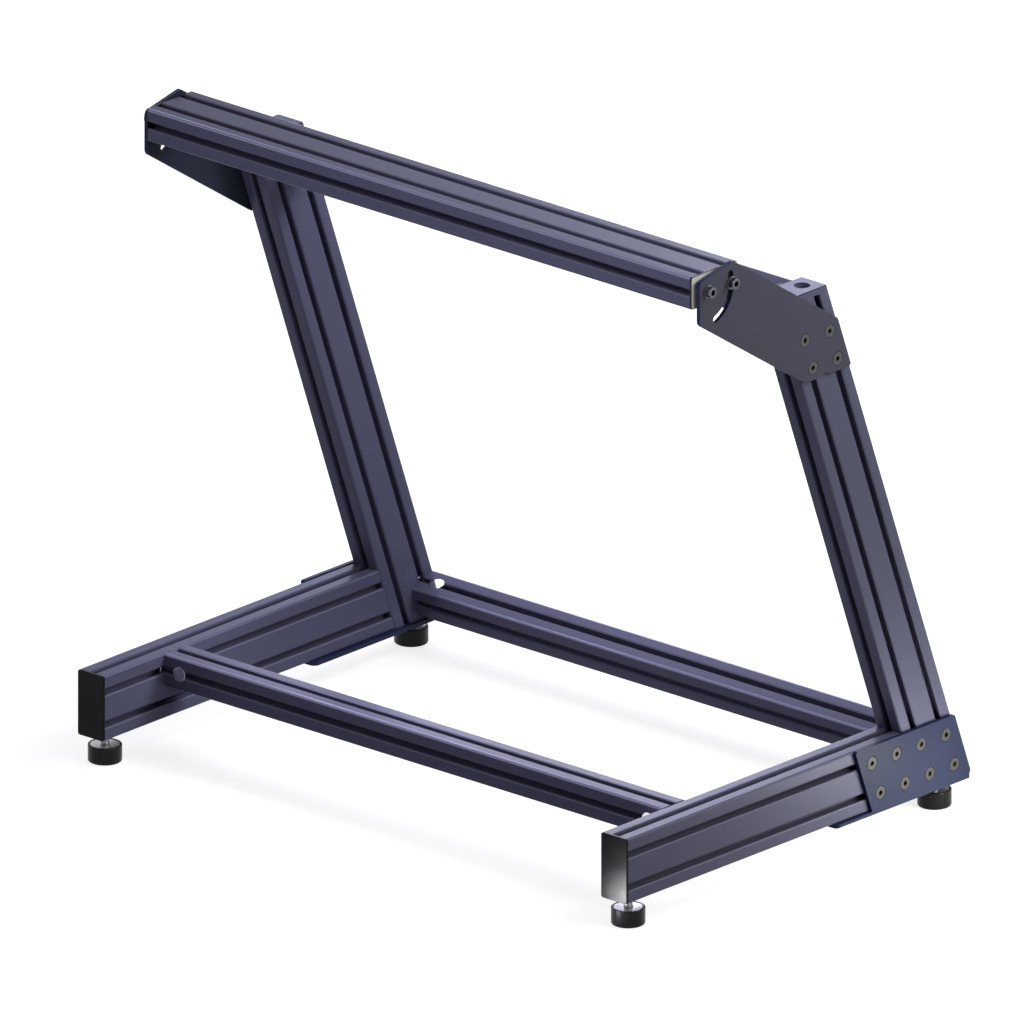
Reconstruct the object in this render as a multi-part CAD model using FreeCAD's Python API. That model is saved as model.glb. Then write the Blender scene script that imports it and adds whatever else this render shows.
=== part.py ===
import FreeCAD, Part
import math
import os

# Racing wheel stand of slotted aluminium profile. Millimetres, +X right, -Y to the driver, +Z up.
# The floor is Z = 0 and the stand is mirrored about X = 0.

os.makedirs("parts", exist_ok=True)

# Slotted profile, by the cell
CELL = 40.0
PROFILE_CORNER_R = 3.0
SLOT_MOUTH = 8.2
SLOT_SHOULDER_WIDTH = 11.4
SLOT_SHOULDER_DEPTH = 1.0
SLOT_LIP = 4.5
SLOT_CAVITY_WIDTH = 20.0
SLOT_KNEE_DEPTH = 8.0
SLOT_FLOOR_WIDTH = 11.5
SLOT_DEPTH = 12.25
CORE_BORE_D = 6.8
CHAMBER_WALL = 4.5
CHAMBER_HEIGHT = 11.0
CHAMBER_CORNER_R = 2.0

# Frame
FRAME_WIDTH = 850.0
UPRIGHT_TILT = 20.0
UPRIGHT_TOP = 701.0
RAIL_BOTTOM = 34.0
RAIL_LENGTH = 501.0
RAIL_CAP = 3.0
CAP_RIM_R = 0.9
TOP_CAP = 8.0
TOP_CAP_HOLE_D = 17.4
FRONT_BEAM_SETBACK = 105.5
REAR_BEAM_RISE = 30.0

# Upper brackets, set from the tops of the uprights, and the pivot that they carry
BRACKET_DROP = 108.0
PIVOT_REACH = 208.1
PIVOT_RISE = 159.0
TILT_UP = 15.0
TILT_DOWN = 70.0
UPPER_FRONT_MARGIN = 14.5
UPPER_FRONT_RISE = 13.6
UPPER_APEX_MARGIN = 3.3
UPPER_APEX_RISE = 25.6
UPPER_CHIN_DROP = 38.4
UPPER_FOOT_INSET = 2.2
UPPER_REAR_INSET = 2.5
UPPER_SCREW_MARGIN = 15.0
UPPER_FRONT_R = 6.0
UPPER_APEX_R = 4.0
UPPER_REAR_TOP_R = 6.0
UPPER_REAR_R = 3.5
UPPER_FOOT_R = 12.0
UPPER_CHIN_R = 9.0
NOTCH_DEPTH = 4.5
NOTCH_HALF = 8.0
NOTCH_TIP_R = 3.0
NOTCH_EDGE_R = 6.0

# Lower brackets
LOWER_CELLS_AHEAD = 3
LOWER_OVERHANG = 1.0
LOWER_RISE = 0.8
LOWER_TOE_R = 0.5
LOWER_CORNER_R = 3.0
LOWER_REAR_R = 6.0
FLANGE_REACH = 195.6
FLANGE_REAR_INSET = 3.0
FLANGE_LIP = 5.0
FLANGE_CORNER_R = 14.0
BEND_R = 3.0

# Tilting bar
BAR_CAP = 2.5
BAR_SIDE_GAP = 3.0
BAR_SCREW_GRIP = 25.0

# Plates and screws
PLATE = 5.0
SCREW_D = 8.0
SCREW_HOLE_D = 8.4
PIVOT_CLEARANCE = 0.05
ARC_SLOT_CLEARANCE = 0.4
ARC_SLOT_END_ALLOWANCE = 0.5
HEAD_CLEARANCE = 0.1
CAP_HEAD_D = 13.0
CAP_HEAD_HEIGHT = 8.0
CAP_HEAD_CHAMFER = 0.8
WASHER_D = 16.0
WASHER_THICKNESS = 1.6
HEX_SOCKET = 6.0
HEX_SOCKET_DEPTH = 4.0
COUNTERSUNK_D = 16.0
COUNTERSUNK_SOCKET = 5.0
COUNTERSUNK_SOCKET_DEPTH = 2.6
SLOT_NUT_LENGTH = 20.0
SLOT_NUT_WIDTH = 17.0
SLOT_NUT_THICKNESS = 5.0
SLOT_NUT_CHAMFER = 1.6

# Beam fasteners
BARREL_D = 18.6
BARREL_DEPTH = 19.0
BARREL_SETBACK = 22.0
BARREL_BOLT_D = 7.0
BARREL_BOLT_DEPTH = 8.4

# Feet
FOOT_D = 40.0
FOOT_HEIGHT = 21.0
FOOT_BASE_R = 2.5
FOOT_RIM_R = 1.2
FOOT_DISC_D = 35.0
FOOT_DISC_RECESS = 2.5
FOOT_DISC_THICKNESS = 2.0
FOOT_COLLAR_D = 10.0
FOOT_COLLAR_CLEARANCE = 0.1
FRONT_FOOT_INSET = 25.0
REAR_FOOT_BEHIND = 7.0

# Values that follow
HALF_WIDTH = FRAME_WIDTH / 2
RAIL_X = HALF_WIDTH - CELL / 2
RAIL_TOP = RAIL_BOTTOM + 2 * CELL
INNER_WIDTH = FRAME_WIDTH - 2 * CELL
PLATE_FACE_X = HALF_WIDTH + PLATE
PLATE_BOTTOM = RAIL_BOTTOM - PLATE
TILT = math.radians(UPRIGHT_TILT)
LEVEL_CELL = CELL / math.cos(TILT)
RAIL_RUN = RAIL_LENGTH + 2 * LEVEL_CELL
FRONT_Y = -(RAIL_CAP + RAIL_RUN) / 2
UPRIGHT_FOOT_Y = FRONT_Y + RAIL_CAP + RAIL_LENGTH + LEVEL_CELL
FRONT_FOOT_Y = FRONT_Y + FRONT_FOOT_INSET
REAR_FOOT_Y = UPRIGHT_FOOT_Y + REAR_FOOT_BEHIND


def upright_y(across, z):
    """Y of the point that lies `across` the uprights from their centre line, at height z."""
    return UPRIGHT_FOOT_Y - (z - RAIL_BOTTOM) * math.tan(TILT) + across / math.cos(TILT)


BRACKET_BOTTOM = UPRIGHT_TOP - BRACKET_DROP
PIVOT_Y = upright_y(0, BRACKET_BOTTOM) - PIVOT_REACH
PIVOT_Z = BRACKET_BOTTOM + PIVOT_RISE
LOCK_RADIUS = CELL
BAR_END_X = HALF_WIDTH - BAR_SIDE_GAP
BAR_HALF_LENGTH = BAR_END_X - BAR_CAP
COUNTERSINK_DEPTH = (COUNTERSUNK_D - SCREW_HOLE_D) / 2


def vec(x, y, z):
    return FreeCAD.Vector(x, y, z)


def placement(position, axis, degrees):
    return FreeCAD.Placement(position, FreeCAD.Rotation(axis, degrees))


def placed(shape, place):
    """The shape, moved from its own frame by a placement."""
    shape.Placement = place.multiply(shape.Placement)
    return shape


def along_upright(x, y, z):
    """Placement whose local Z runs up along the uprights and local Y to their back."""
    return placement(vec(x, y, z), vec(1, 0, 0), UPRIGHT_TILT)


def save(shape, node):
    shape.exportStep("parts/" + node + ".step")


def save_pair(right_shape, name):
    save(right_shape, "right_" + name)
    save(right_shape.mirror(vec(0, 0, 0), vec(1, 0, 0)), "left_" + name)


# Shapes that several pieces share
def plane_face(points):
    return Part.Face(Part.makePolygon(points + [points[0]]))


def rounded_rectangle(width, height, radius):
    """Face in XY, centred on the origin."""
    plate = Part.makeBox(width, height, 1, vec(-width / 2, -height / 2, 0))
    corner_edges = [e for e in plate.Edges if abs(e.Vertexes[0].Z - e.Vertexes[1].Z) > 0.5]
    plate = plate.makeFillet(radius, corner_edges)
    return [f for f in plate.Faces if f.CenterOfMass.z < 1e-6][0]


def rounded_plate(corners, thickness):
    """Plate in the YZ plane from (y, z, radius) corners, running to +X from X = 0."""
    arcs = []
    count = len(corners)
    for i, (y, z, radius) in enumerate(corners):
        here = vec(0, y, z)
        to_before = (vec(0, *corners[i - 1][:2]) - here).normalize()
        to_after = (vec(0, *corners[(i + 1) % count][:2]) - here).normalize()
        half_angle = to_before.getAngle(to_after) / 2
        reach = radius / math.tan(half_angle)
        inward = (to_before + to_after).normalize()
        middle = here + inward * (radius / math.sin(half_angle) - radius)
        arcs.append((here + to_before * reach, middle, here + to_after * reach))
    edges = []
    for i, (start, middle, end) in enumerate(arcs):
        edges.append(Part.Arc(start, middle, end).toShape())
        edges.append(Part.makeLine(end, arcs[(i + 1) % count][0]))
    return Part.Face(Part.Wire(edges)).extrude(vec(thickness, 0, 0))


def cylinder_x(diameter, x0, x1, y, z):
    return Part.makeCylinder(diameter / 2, x1 - x0, vec(x0, y, z), vec(1, 0, 0))


def hexagon_x(across_flats, x0, x1, y, z):
    radius = across_flats / math.sqrt(3)
    turns = [math.radians(60 * i) for i in range(6)]
    points = [vec(x0, y + radius * math.cos(t), z + radius * math.sin(t)) for t in turns]
    return plane_face(points).extrude(vec(x1 - x0, 0, 0))


def end_cap(thickness):
    """Cap for a two-cell end, lying in XY with its outer face at the top."""
    cap = rounded_rectangle(CELL, 2 * CELL, PROFILE_CORNER_R).extrude(vec(0, 0, thickness))
    rim = [e for e in cap.Edges if min(v.Z for v in e.Vertexes) > thickness - 1e-6]
    return cap.makeFillet(CAP_RIM_R, rim)


def slot_nut():
    """Nut in a slot that opens to +Z at Z = 0, its long side in X, lying under the slot's lips."""
    half_length = SLOT_NUT_LENGTH / 2
    bottom = -SLOT_LIP - SLOT_NUT_THICKNESS
    corner = vec(-half_length, -SLOT_NUT_WIDTH / 2, bottom)
    nut = Part.makeBox(SLOT_NUT_LENGTH, SLOT_NUT_WIDTH, SLOT_NUT_THICKNESS, corner)
    back_edges = [e for e in nut.Edges if max(v.Z for v in e.Vertexes) < bottom + 1]
    return nut.makeChamfer(SLOT_NUT_CHAMFER, back_edges)


# Slotted profile
def slot_face(x, y, angle):
    """T-slot in XY whose mouth is centred on (x, y); at angle 0 it opens to +Y."""
    half = [
        (SLOT_SHOULDER_WIDTH / 2, 1.0),
        (SLOT_SHOULDER_WIDTH / 2, 0.0),
        (SLOT_MOUTH / 2, -SLOT_SHOULDER_DEPTH),
        (SLOT_MOUTH / 2, -SLOT_LIP),
        (SLOT_CAVITY_WIDTH / 2, -SLOT_LIP),
        (SLOT_CAVITY_WIDTH / 2, -SLOT_KNEE_DEPTH),
        (SLOT_FLOOR_WIDTH / 2, -SLOT_DEPTH),
    ]
    points = [vec(a, b, 0) for a, b in half] + [vec(-a, b, 0) for a, b in reversed(half)]
    return placed(plane_face(points), placement(vec(x, y, 0), vec(0, 0, 1), angle))


def profile_section(cells):
    """Section in XY, one cell wide in X and `cells` high in Y, with a slot at each cell's face."""
    height = cells * CELL
    centres = [(i - (cells - 1) / 2) * CELL for i in range(cells)]
    section = rounded_rectangle(CELL, height, PROFILE_CORNER_R)
    cutters = [slot_face(0, height / 2, 0), slot_face(0, -height / 2, 180)]
    for centre in centres:
        cutters.append(slot_face(CELL / 2, centre, -90))
        cutters.append(slot_face(-CELL / 2, centre, 90))
        bore = Part.makeCircle(CORE_BORE_D / 2, vec(0, centre, 0))
        cutters.append(Part.Face(Part.Wire(bore)))
    for lower in centres[:-1]:
        chamber = rounded_rectangle(CELL - 2 * CHAMBER_WALL, CHAMBER_HEIGHT, CHAMBER_CORNER_R)
        chamber.translate(vec(0, lower + CELL / 2, 0))
        cutters.append(chamber)
    return section.cut(cutters).Faces[0]


def profile(cells, length):
    """Length of profile centred on the origin, running along Z."""
    bar = profile_section(cells).extrude(vec(0, 0, length))
    bar.translate(vec(0, 0, -length / 2))
    return bar


def in_upright_place(shape):
    """The shape, moved from the origin to the foot of the right upright, along its lean."""
    return placed(shape, along_upright(RAIL_X, UPRIGHT_FOOT_Y, RAIL_BOTTOM))


def level_slab(bottom, top):
    """Block between two heights, wide and deep enough to hold one upright."""
    reach = UPRIGHT_TOP + RAIL_RUN
    return Part.makeBox(2 * CELL, 2 * reach, top - bottom, vec(RAIL_X - CELL, -reach, bottom))


# Base rails with their end caps, mitred to the uprights
def upright_blank(reach):
    """Bare two-cell block in the right upright's place, running past both its ends."""
    blank = rounded_rectangle(CELL, 2 * CELL, PROFILE_CORNER_R).extrude(vec(0, 0, 2 * reach))
    blank.translate(vec(0, 0, -reach))
    return in_upright_place(blank)


def base_rail():
    middle = vec(RAIL_X, FRONT_Y + RAIL_CAP + RAIL_RUN / 2, RAIL_BOTTOM + CELL)
    rail = placed(profile(2, RAIL_RUN), placement(middle, vec(1, 0, 0), 90))
    upright_box = Part.makeBox(CELL, 2 * CELL, 2 * RAIL_RUN, vec(-CELL / 2, -CELL, -RAIL_RUN))
    pieces = rail.cut(in_upright_place(upright_box)).Solids
    return min(pieces, key=lambda piece: piece.CenterOfMass.y)


def rail_cap():
    front = vec(RAIL_X, FRONT_Y + RAIL_CAP, RAIL_BOTTOM + CELL)
    return placed(end_cap(RAIL_CAP), placement(front, vec(1, 0, 0), 90))


save_pair(base_rail(), "base_rail")
save_pair(rail_cap(), "rail_end_cap")


# Uprights with their top caps, cut level at both ends
def upright():
    whole = in_upright_place(profile(2, 4 * UPRIGHT_TOP))
    return whole.common(level_slab(RAIL_BOTTOM, UPRIGHT_TOP - TOP_CAP)).Solids[0]


def top_cap():
    cap = upright_blank(4 * UPRIGHT_TOP).common(level_slab(UPRIGHT_TOP - TOP_CAP, UPRIGHT_TOP)).Solids[0]
    for across in (-CELL / 2, CELL / 2):
        bottom = vec(RAIL_X, upright_y(across, UPRIGHT_TOP), UPRIGHT_TOP - TOP_CAP - 1)
        cap = cap.cut(Part.makeCylinder(TOP_CAP_HOLE_D / 2, TOP_CAP + 2, bottom))
    return cap


save_pair(upright(), "upright")
save_pair(top_cap(), "top_cap")


# Cross beams and the barrel fasteners that tie them to the rails and uprights
def barrel(x):
    """Barrel, or its seat, in a beam whose slotted face is at local Z = CELL / 2."""
    return Part.makeCylinder(BARREL_D / 2, BARREL_DEPTH, vec(x, 0, CELL / 2 - BARREL_DEPTH))


def cross_beam():
    beam = placed(profile(1, INNER_WIDTH), placement(vec(0, 0, 0), vec(0, 1, 0), 90))
    barrel_x = INNER_WIDTH / 2 - BARREL_SETBACK
    return beam.cut([barrel(-barrel_x), barrel(barrel_x)])


def beam_fastener():
    """Barrel, bolt and slot nut at the right-hand end, in the beam's own frame."""
    beam_end = INNER_WIDTH / 2
    bolt_z = CELL / 2 - BARREL_BOLT_DEPTH
    bolt_length = BARREL_SETBACK + SLOT_LIP + SLOT_NUT_THICKNESS
    bolt_start = vec(beam_end - BARREL_SETBACK, 0, bolt_z)
    bolt = Part.makeCylinder(BARREL_BOLT_D / 2, bolt_length, bolt_start, vec(1, 0, 0))
    nut = placed(slot_nut(), placement(vec(beam_end, 0, bolt_z), vec(0, 1, 0), -90))
    return barrel(beam_end - BARREL_SETBACK).fuse([bolt, nut])


front_beam_middle = vec(0, FRONT_Y + FRONT_BEAM_SETBACK + CELL / 2, RAIL_TOP - CELL / 2)
rear_beam_z = RAIL_BOTTOM + REAR_BEAM_RISE
upper_beam_z = UPRIGHT_TOP - TOP_CAP - CELL / 2 * (math.sin(TILT) + math.cos(TILT))
beam_places = {
    "front": placement(front_beam_middle, vec(1, 0, 0), 90),
    "rear": along_upright(0, upright_y(CELL / 2, rear_beam_z), rear_beam_z),
    "upper": along_upright(0, upright_y(CELL / 2, upper_beam_z), upper_beam_z),
}
for beam_name, place in beam_places.items():
    save(placed(cross_beam(), place), beam_name + "_cross_beam")
    save_pair(placed(beam_fastener(), place), beam_name + "_beam_fastener")


# Countersunk screws of the brackets, with their nuts in the profile's slots
def countersink(y, z):
    """Cutter for a countersunk screw that enters the plate's outer face."""
    face = vec(PLATE_FACE_X, y, z)
    cone = Part.makeCone(COUNTERSUNK_D / 2, SCREW_HOLE_D / 2, COUNTERSINK_DEPTH, face, vec(-1, 0, 0))
    return cone.fuse(cylinder_x(SCREW_HOLE_D, HALF_WIDTH - 1, PLATE_FACE_X, y, z))


def countersunk_screw(y, z, slot_angle):
    """Screw with its nut; the slot runs at slot_angle above the level in the YZ plane."""
    face = vec(PLATE_FACE_X, y, z)
    head = Part.makeCone(COUNTERSUNK_D / 2, SCREW_HOLE_D / 2, COUNTERSINK_DEPTH, face, vec(-1, 0, 0))
    shank_end = HALF_WIDTH - SLOT_LIP - SLOT_NUT_THICKNESS
    shank = cylinder_x(SCREW_D, shank_end, PLATE_FACE_X - COUNTERSINK_DEPTH, y, z)
    nut = placed(slot_nut(), placement(vec(0, 0, 0), vec(0, 0, 1), slot_angle + 90))
    nut = placed(nut, placement(vec(HALF_WIDTH, y, z), vec(0, 1, 0), 90))
    socket = hexagon_x(COUNTERSUNK_SOCKET, PLATE_FACE_X - COUNTERSUNK_SOCKET_DEPTH, PLATE_FACE_X, y, z)
    return head.fuse([shank, nut]).cut(socket)


# Lower brackets: a side plate on the rail and upright, bent under both
RAIL_SCREWS_ACROSS = (-2.5 * CELL, -1.5 * CELL)
UPRIGHT_SCREWS_ACROSS = (-CELL / 2, CELL / 2)
LOWER_SCREW_HEIGHTS = (RAIL_BOTTOM + CELL / 2, RAIL_BOTTOM + 3 * CELL / 2)


def lower_screw_places(offsets):
    return [(upright_y(across, z), z) for z in LOWER_SCREW_HEIGHTS for across in offsets]


def bracket_flange():
    """Level plate under the rail and upright, a lip wider than they are, with round front corners."""
    front_y = UPRIGHT_FOOT_Y - FLANGE_REACH
    rear_y = upright_y(CELL, RAIL_BOTTOM) - FLANGE_REAR_INSET
    inner_x = HALF_WIDTH - CELL - FLANGE_LIP
    corner = vec(inner_x, front_y, PLATE_BOTTOM)
    flange = Part.makeBox(PLATE_FACE_X - inner_x, rear_y - front_y, PLATE, corner)
    front_corners = [
        e for e in flange.Edges
        if abs(e.Vertexes[0].Z - e.Vertexes[1].Z) > PLATE / 2 and e.CenterOfMass.y < front_y + 1
    ]
    return flange.makeFillet(FLANGE_CORNER_R, front_corners)


def lower_bracket():
    front = -LOWER_CELLS_AHEAD * CELL
    rear = CELL + LOWER_OVERHANG
    top = RAIL_TOP + LOWER_RISE
    side = rounded_plate(
        [
            (upright_y(front, RAIL_BOTTOM), RAIL_BOTTOM, LOWER_TOE_R),
            (upright_y(front, top), top, LOWER_CORNER_R),
            (upright_y(rear, top), top, LOWER_CORNER_R),
            (upright_y(rear, RAIL_BOTTOM), RAIL_BOTTOM, LOWER_REAR_R),
        ],
        PLATE,
    )
    side.translate(vec(HALF_WIDTH, 0, 0))
    bracket = side.fuse(bracket_flange()).removeSplitter()
    bend = [
        e for e in bracket.Edges
        if abs(e.CenterOfMass.x - PLATE_FACE_X) < 0.01 and abs(e.CenterOfMass.z - PLATE_BOTTOM) < 0.01
        and e.Length > CELL
    ]
    bracket = bracket.makeFillet(BEND_R, bend)
    holes = [countersink(y, z) for y, z in lower_screw_places(RAIL_SCREWS_ACROSS + UPRIGHT_SCREWS_ACROSS)]
    collar_r = FOOT_COLLAR_D / 2 + FOOT_COLLAR_CLEARANCE
    holes.append(Part.makeCylinder(collar_r, 2 * PLATE, vec(RAIL_X, REAR_FOOT_Y, PLATE_BOTTOM - 1)))
    return bracket.cut(holes)


def lower_screws():
    in_rail = [countersunk_screw(y, z, 0) for y, z in lower_screw_places(RAIL_SCREWS_ACROSS)]
    in_upright = [
        countersunk_screw(y, z, 90 + UPRIGHT_TILT) for y, z in lower_screw_places(UPRIGHT_SCREWS_ACROSS)
    ]
    return Part.makeCompound(in_rail + in_upright)


save_pair(lower_bracket(), "lower_bracket")
save_pair(lower_screws(), "lower_bracket_screws")


# Upper brackets: plates with the pivot hole and the arc slot of the lock screw
def arc_slot():
    """Cutter for the slot that the bar's lock screw rides in, concentric with the pivot."""
    half_width = SCREW_D / 2 + ARC_SLOT_CLEARANCE
    outer = LOCK_RADIUS + half_width
    inner = LOCK_RADIUS - half_width
    low = math.radians(-TILT_DOWN - ARC_SLOT_END_ALLOWANCE)
    high = math.radians(TILT_UP + ARC_SLOT_END_ALLOWANCE)
    middle = (low + high) / 2

    def at(radius, turn, beyond=0):
        y = PIVOT_Y + radius * math.cos(turn) - beyond * math.sin(turn)
        z = PIVOT_Z + radius * math.sin(turn) + beyond * math.cos(turn)
        return vec(HALF_WIDTH - 1, y, z)

    edges = [
        Part.Arc(at(outer, low), at(outer, middle), at(outer, high)).toShape(),
        Part.Arc(at(outer, high), at(LOCK_RADIUS, high, half_width), at(inner, high)).toShape(),
        Part.Arc(at(inner, high), at(inner, middle), at(inner, low)).toShape(),
        Part.Arc(at(inner, low), at(LOCK_RADIUS, low, -half_width), at(outer, low)).toShape(),
    ]
    return Part.Face(Part.Wire(edges)).extrude(vec(PLATE + 2, 0, 0))


def upper_outline():
    """Corners of the plate: an arm from the pivot back to the upright, whose two long edges are parallel."""
    front_y = PIVOT_Y - UPPER_FRONT_MARGIN
    chin_z = PIVOT_Z - UPPER_CHIN_DROP
    foot_y = upright_y(-CELL, BRACKET_BOTTOM) + UPPER_FOOT_INSET
    fall = (chin_z - BRACKET_BOTTOM) / (foot_y - front_y)
    apex_y = PIVOT_Y + LOCK_RADIUS + UPPER_APEX_MARGIN
    apex_z = PIVOT_Z + UPPER_APEX_RISE
    rear = CELL - UPPER_REAR_INSET
    climb = 1 / math.tan(TILT)
    rear_base = upright_y(rear, RAIL_BOTTOM)
    rear_top_y = (RAIL_BOTTOM + climb * rear_base - apex_z - fall * apex_y) / (climb - fall)
    notch_y = upright_y(0, BRACKET_BOTTOM + UPPER_SCREW_MARGIN)
    return [
        (front_y, chin_z, UPPER_CHIN_R),
        (front_y, PIVOT_Z + UPPER_FRONT_RISE, UPPER_FRONT_R),
        (apex_y, apex_z, UPPER_APEX_R),
        (rear_top_y, apex_z - fall * (rear_top_y - apex_y), UPPER_REAR_TOP_R),
        (upright_y(rear, BRACKET_BOTTOM), BRACKET_BOTTOM, UPPER_REAR_R),
        (notch_y + NOTCH_HALF, BRACKET_BOTTOM, NOTCH_EDGE_R),
        (notch_y, BRACKET_BOTTOM + NOTCH_DEPTH, NOTCH_TIP_R),
        (notch_y - NOTCH_HALF, BRACKET_BOTTOM, NOTCH_EDGE_R),
        (foot_y, BRACKET_BOTTOM, UPPER_FOOT_R),
    ]


lower_row = BRACKET_BOTTOM + UPPER_SCREW_MARGIN
upper_row = lower_row + CELL * math.cos(TILT)
upper_screw_places = [
    (upright_y(across, z), z) for z in (lower_row, upper_row) for across in UPRIGHT_SCREWS_ACROSS
]


def upper_bracket():
    bracket = rounded_plate(upper_outline(), PLATE)
    bracket.translate(vec(HALF_WIDTH, 0, 0))
    pivot_hole_d = SCREW_D + 2 * PIVOT_CLEARANCE
    holes = [countersink(y, z) for y, z in upper_screw_places]
    holes.append(arc_slot())
    holes.append(cylinder_x(pivot_hole_d, HALF_WIDTH - 1, PLATE_FACE_X + 1, PIVOT_Y, PIVOT_Z))
    return bracket.cut(holes)


save_pair(upper_bracket(), "upper_bracket")
upper_screws = [countersunk_screw(y, z, 90 + UPRIGHT_TILT) for y, z in upper_screw_places]
save_pair(Part.makeCompound(upper_screws), "upper_bracket_screws")


# Tilting bar, its end caps, and the screws it turns on and is locked by
BAR_SCREW_ROWS = (PIVOT_Y, PIVOT_Y + LOCK_RADIUS)


def tilting_bar():
    middle = vec(0, PIVOT_Y + CELL / 2, PIVOT_Z)
    bar = placed(profile(2, 2 * BAR_HALF_LENGTH), placement(middle, vec(0, 1, 0), 90))
    bores = []
    for y in BAR_SCREW_ROWS:
        bores.append(cylinder_x(SCREW_D, BAR_HALF_LENGTH - BAR_SCREW_GRIP, BAR_HALF_LENGTH, y, PIVOT_Z))
        bores.append(cylinder_x(SCREW_D, -BAR_HALF_LENGTH, BAR_SCREW_GRIP - BAR_HALF_LENGTH, y, PIVOT_Z))
    return bar.cut(bores)


def bar_cap():
    end = vec(BAR_HALF_LENGTH, PIVOT_Y + CELL / 2, PIVOT_Z)
    cap = placed(end_cap(BAR_CAP), placement(end, vec(0, 1, 0), 90))
    return cap.cut([cylinder_x(SCREW_D, BAR_HALF_LENGTH - 1, BAR_END_X + 1, y, PIVOT_Z) for y in BAR_SCREW_ROWS])


def cap_screw(y):
    """Screw with its washer; the head's height is counted with the washer."""
    head_x = PLATE_FACE_X + HEAD_CLEARANCE
    top_x = head_x + CAP_HEAD_HEIGHT
    shank = cylinder_x(SCREW_D, BAR_HALF_LENGTH - BAR_SCREW_GRIP, head_x, y, PIVOT_Z)
    head = cylinder_x(CAP_HEAD_D, head_x, top_x, y, PIVOT_Z)
    rim = [e for e in head.Edges if e.CenterOfMass.x > top_x - 1e-6]
    head = head.makeChamfer(CAP_HEAD_CHAMFER, rim)
    washer = cylinder_x(WASHER_D, head_x, head_x + WASHER_THICKNESS, y, PIVOT_Z)
    socket = hexagon_x(HEX_SOCKET, top_x - HEX_SOCKET_DEPTH, top_x, y, PIVOT_Z)
    return head.fuse([shank, washer]).cut(socket)


save(tilting_bar(), "tilting_bar")
save_pair(bar_cap(), "bar_end_cap")
for screw_name, screw_y in zip(("pivot_screw", "lock_screw"), BAR_SCREW_ROWS):
    save_pair(cap_screw(screw_y), screw_name)


# Levelling feet: the front ones hold in the rails' slots, the rear ones in the brackets' flanges
def circle_edges(shape, z):
    return [e for e in shape.Edges if abs(e.CenterOfMass.z - z) < 1e-6 and len(e.Vertexes) == 1]


def foot_pad(y):
    pad = Part.makeCylinder(FOOT_D / 2, FOOT_HEIGHT)
    pad = pad.makeFillet(FOOT_BASE_R, circle_edges(pad, 0))
    pad = pad.makeFillet(FOOT_RIM_R, circle_edges(pad, FOOT_HEIGHT))
    recess_z = FOOT_HEIGHT - FOOT_DISC_RECESS
    pad = pad.cut(Part.makeCylinder(FOOT_DISC_D / 2, FOOT_DISC_RECESS, vec(0, 0, recess_z)))
    pad.translate(vec(RAIL_X, y, 0))
    return pad


def foot_stud(y):
    disc_bottom = vec(RAIL_X, y, FOOT_HEIGHT - FOOT_DISC_RECESS)
    disc = Part.makeCylinder(FOOT_DISC_D / 2, FOOT_DISC_THICKNESS, disc_bottom)
    return disc.fuse(Part.makeCylinder(FOOT_COLLAR_D / 2, RAIL_BOTTOM - disc_bottom.z, disc_bottom))


def front_foot_stud():
    thread_length = SLOT_LIP + SLOT_NUT_THICKNESS
    thread = Part.makeCylinder(SCREW_D / 2, thread_length, vec(RAIL_X, FRONT_FOOT_Y, RAIL_BOTTOM))
    nut = placed(slot_nut(), placement(vec(0, 0, 0), vec(0, 0, 1), 90))
    nut = placed(nut, placement(vec(RAIL_X, FRONT_FOOT_Y, RAIL_BOTTOM), vec(0, 1, 0), 180))
    return foot_stud(FRONT_FOOT_Y).fuse([thread, nut])


save_pair(foot_pad(FRONT_FOOT_Y), "front_foot_pad")
save_pair(foot_pad(REAR_FOOT_Y), "rear_foot_pad")
save_pair(front_foot_stud(), "front_foot_stud")
save_pair(foot_stud(REAR_FOOT_Y), "rear_foot_stud")
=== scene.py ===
import math

import bmesh
import bpy
from mathutils import Matrix, Vector
from mathutils.geometry import tessellate_polygon


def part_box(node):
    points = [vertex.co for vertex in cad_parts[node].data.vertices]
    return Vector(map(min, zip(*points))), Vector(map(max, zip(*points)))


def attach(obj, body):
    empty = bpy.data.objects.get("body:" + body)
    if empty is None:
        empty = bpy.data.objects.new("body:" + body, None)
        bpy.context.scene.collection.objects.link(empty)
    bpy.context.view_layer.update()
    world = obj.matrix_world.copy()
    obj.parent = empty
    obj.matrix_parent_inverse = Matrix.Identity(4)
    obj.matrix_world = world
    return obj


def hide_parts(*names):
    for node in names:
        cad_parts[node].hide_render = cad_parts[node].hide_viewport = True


# Looks of the racing wheel stand. Metres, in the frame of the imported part:
# +X right, -Y to the driver, +Z up. The floor is Z = 0 and the stand is mirrored about X = 0.

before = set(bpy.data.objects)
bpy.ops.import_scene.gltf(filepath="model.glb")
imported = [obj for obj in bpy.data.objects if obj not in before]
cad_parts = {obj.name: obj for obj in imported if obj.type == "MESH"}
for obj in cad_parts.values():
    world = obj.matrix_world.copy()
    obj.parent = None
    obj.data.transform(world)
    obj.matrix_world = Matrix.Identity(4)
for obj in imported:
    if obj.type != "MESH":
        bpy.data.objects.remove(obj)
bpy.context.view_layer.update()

MM = 0.001
TILT = math.radians(20)

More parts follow.
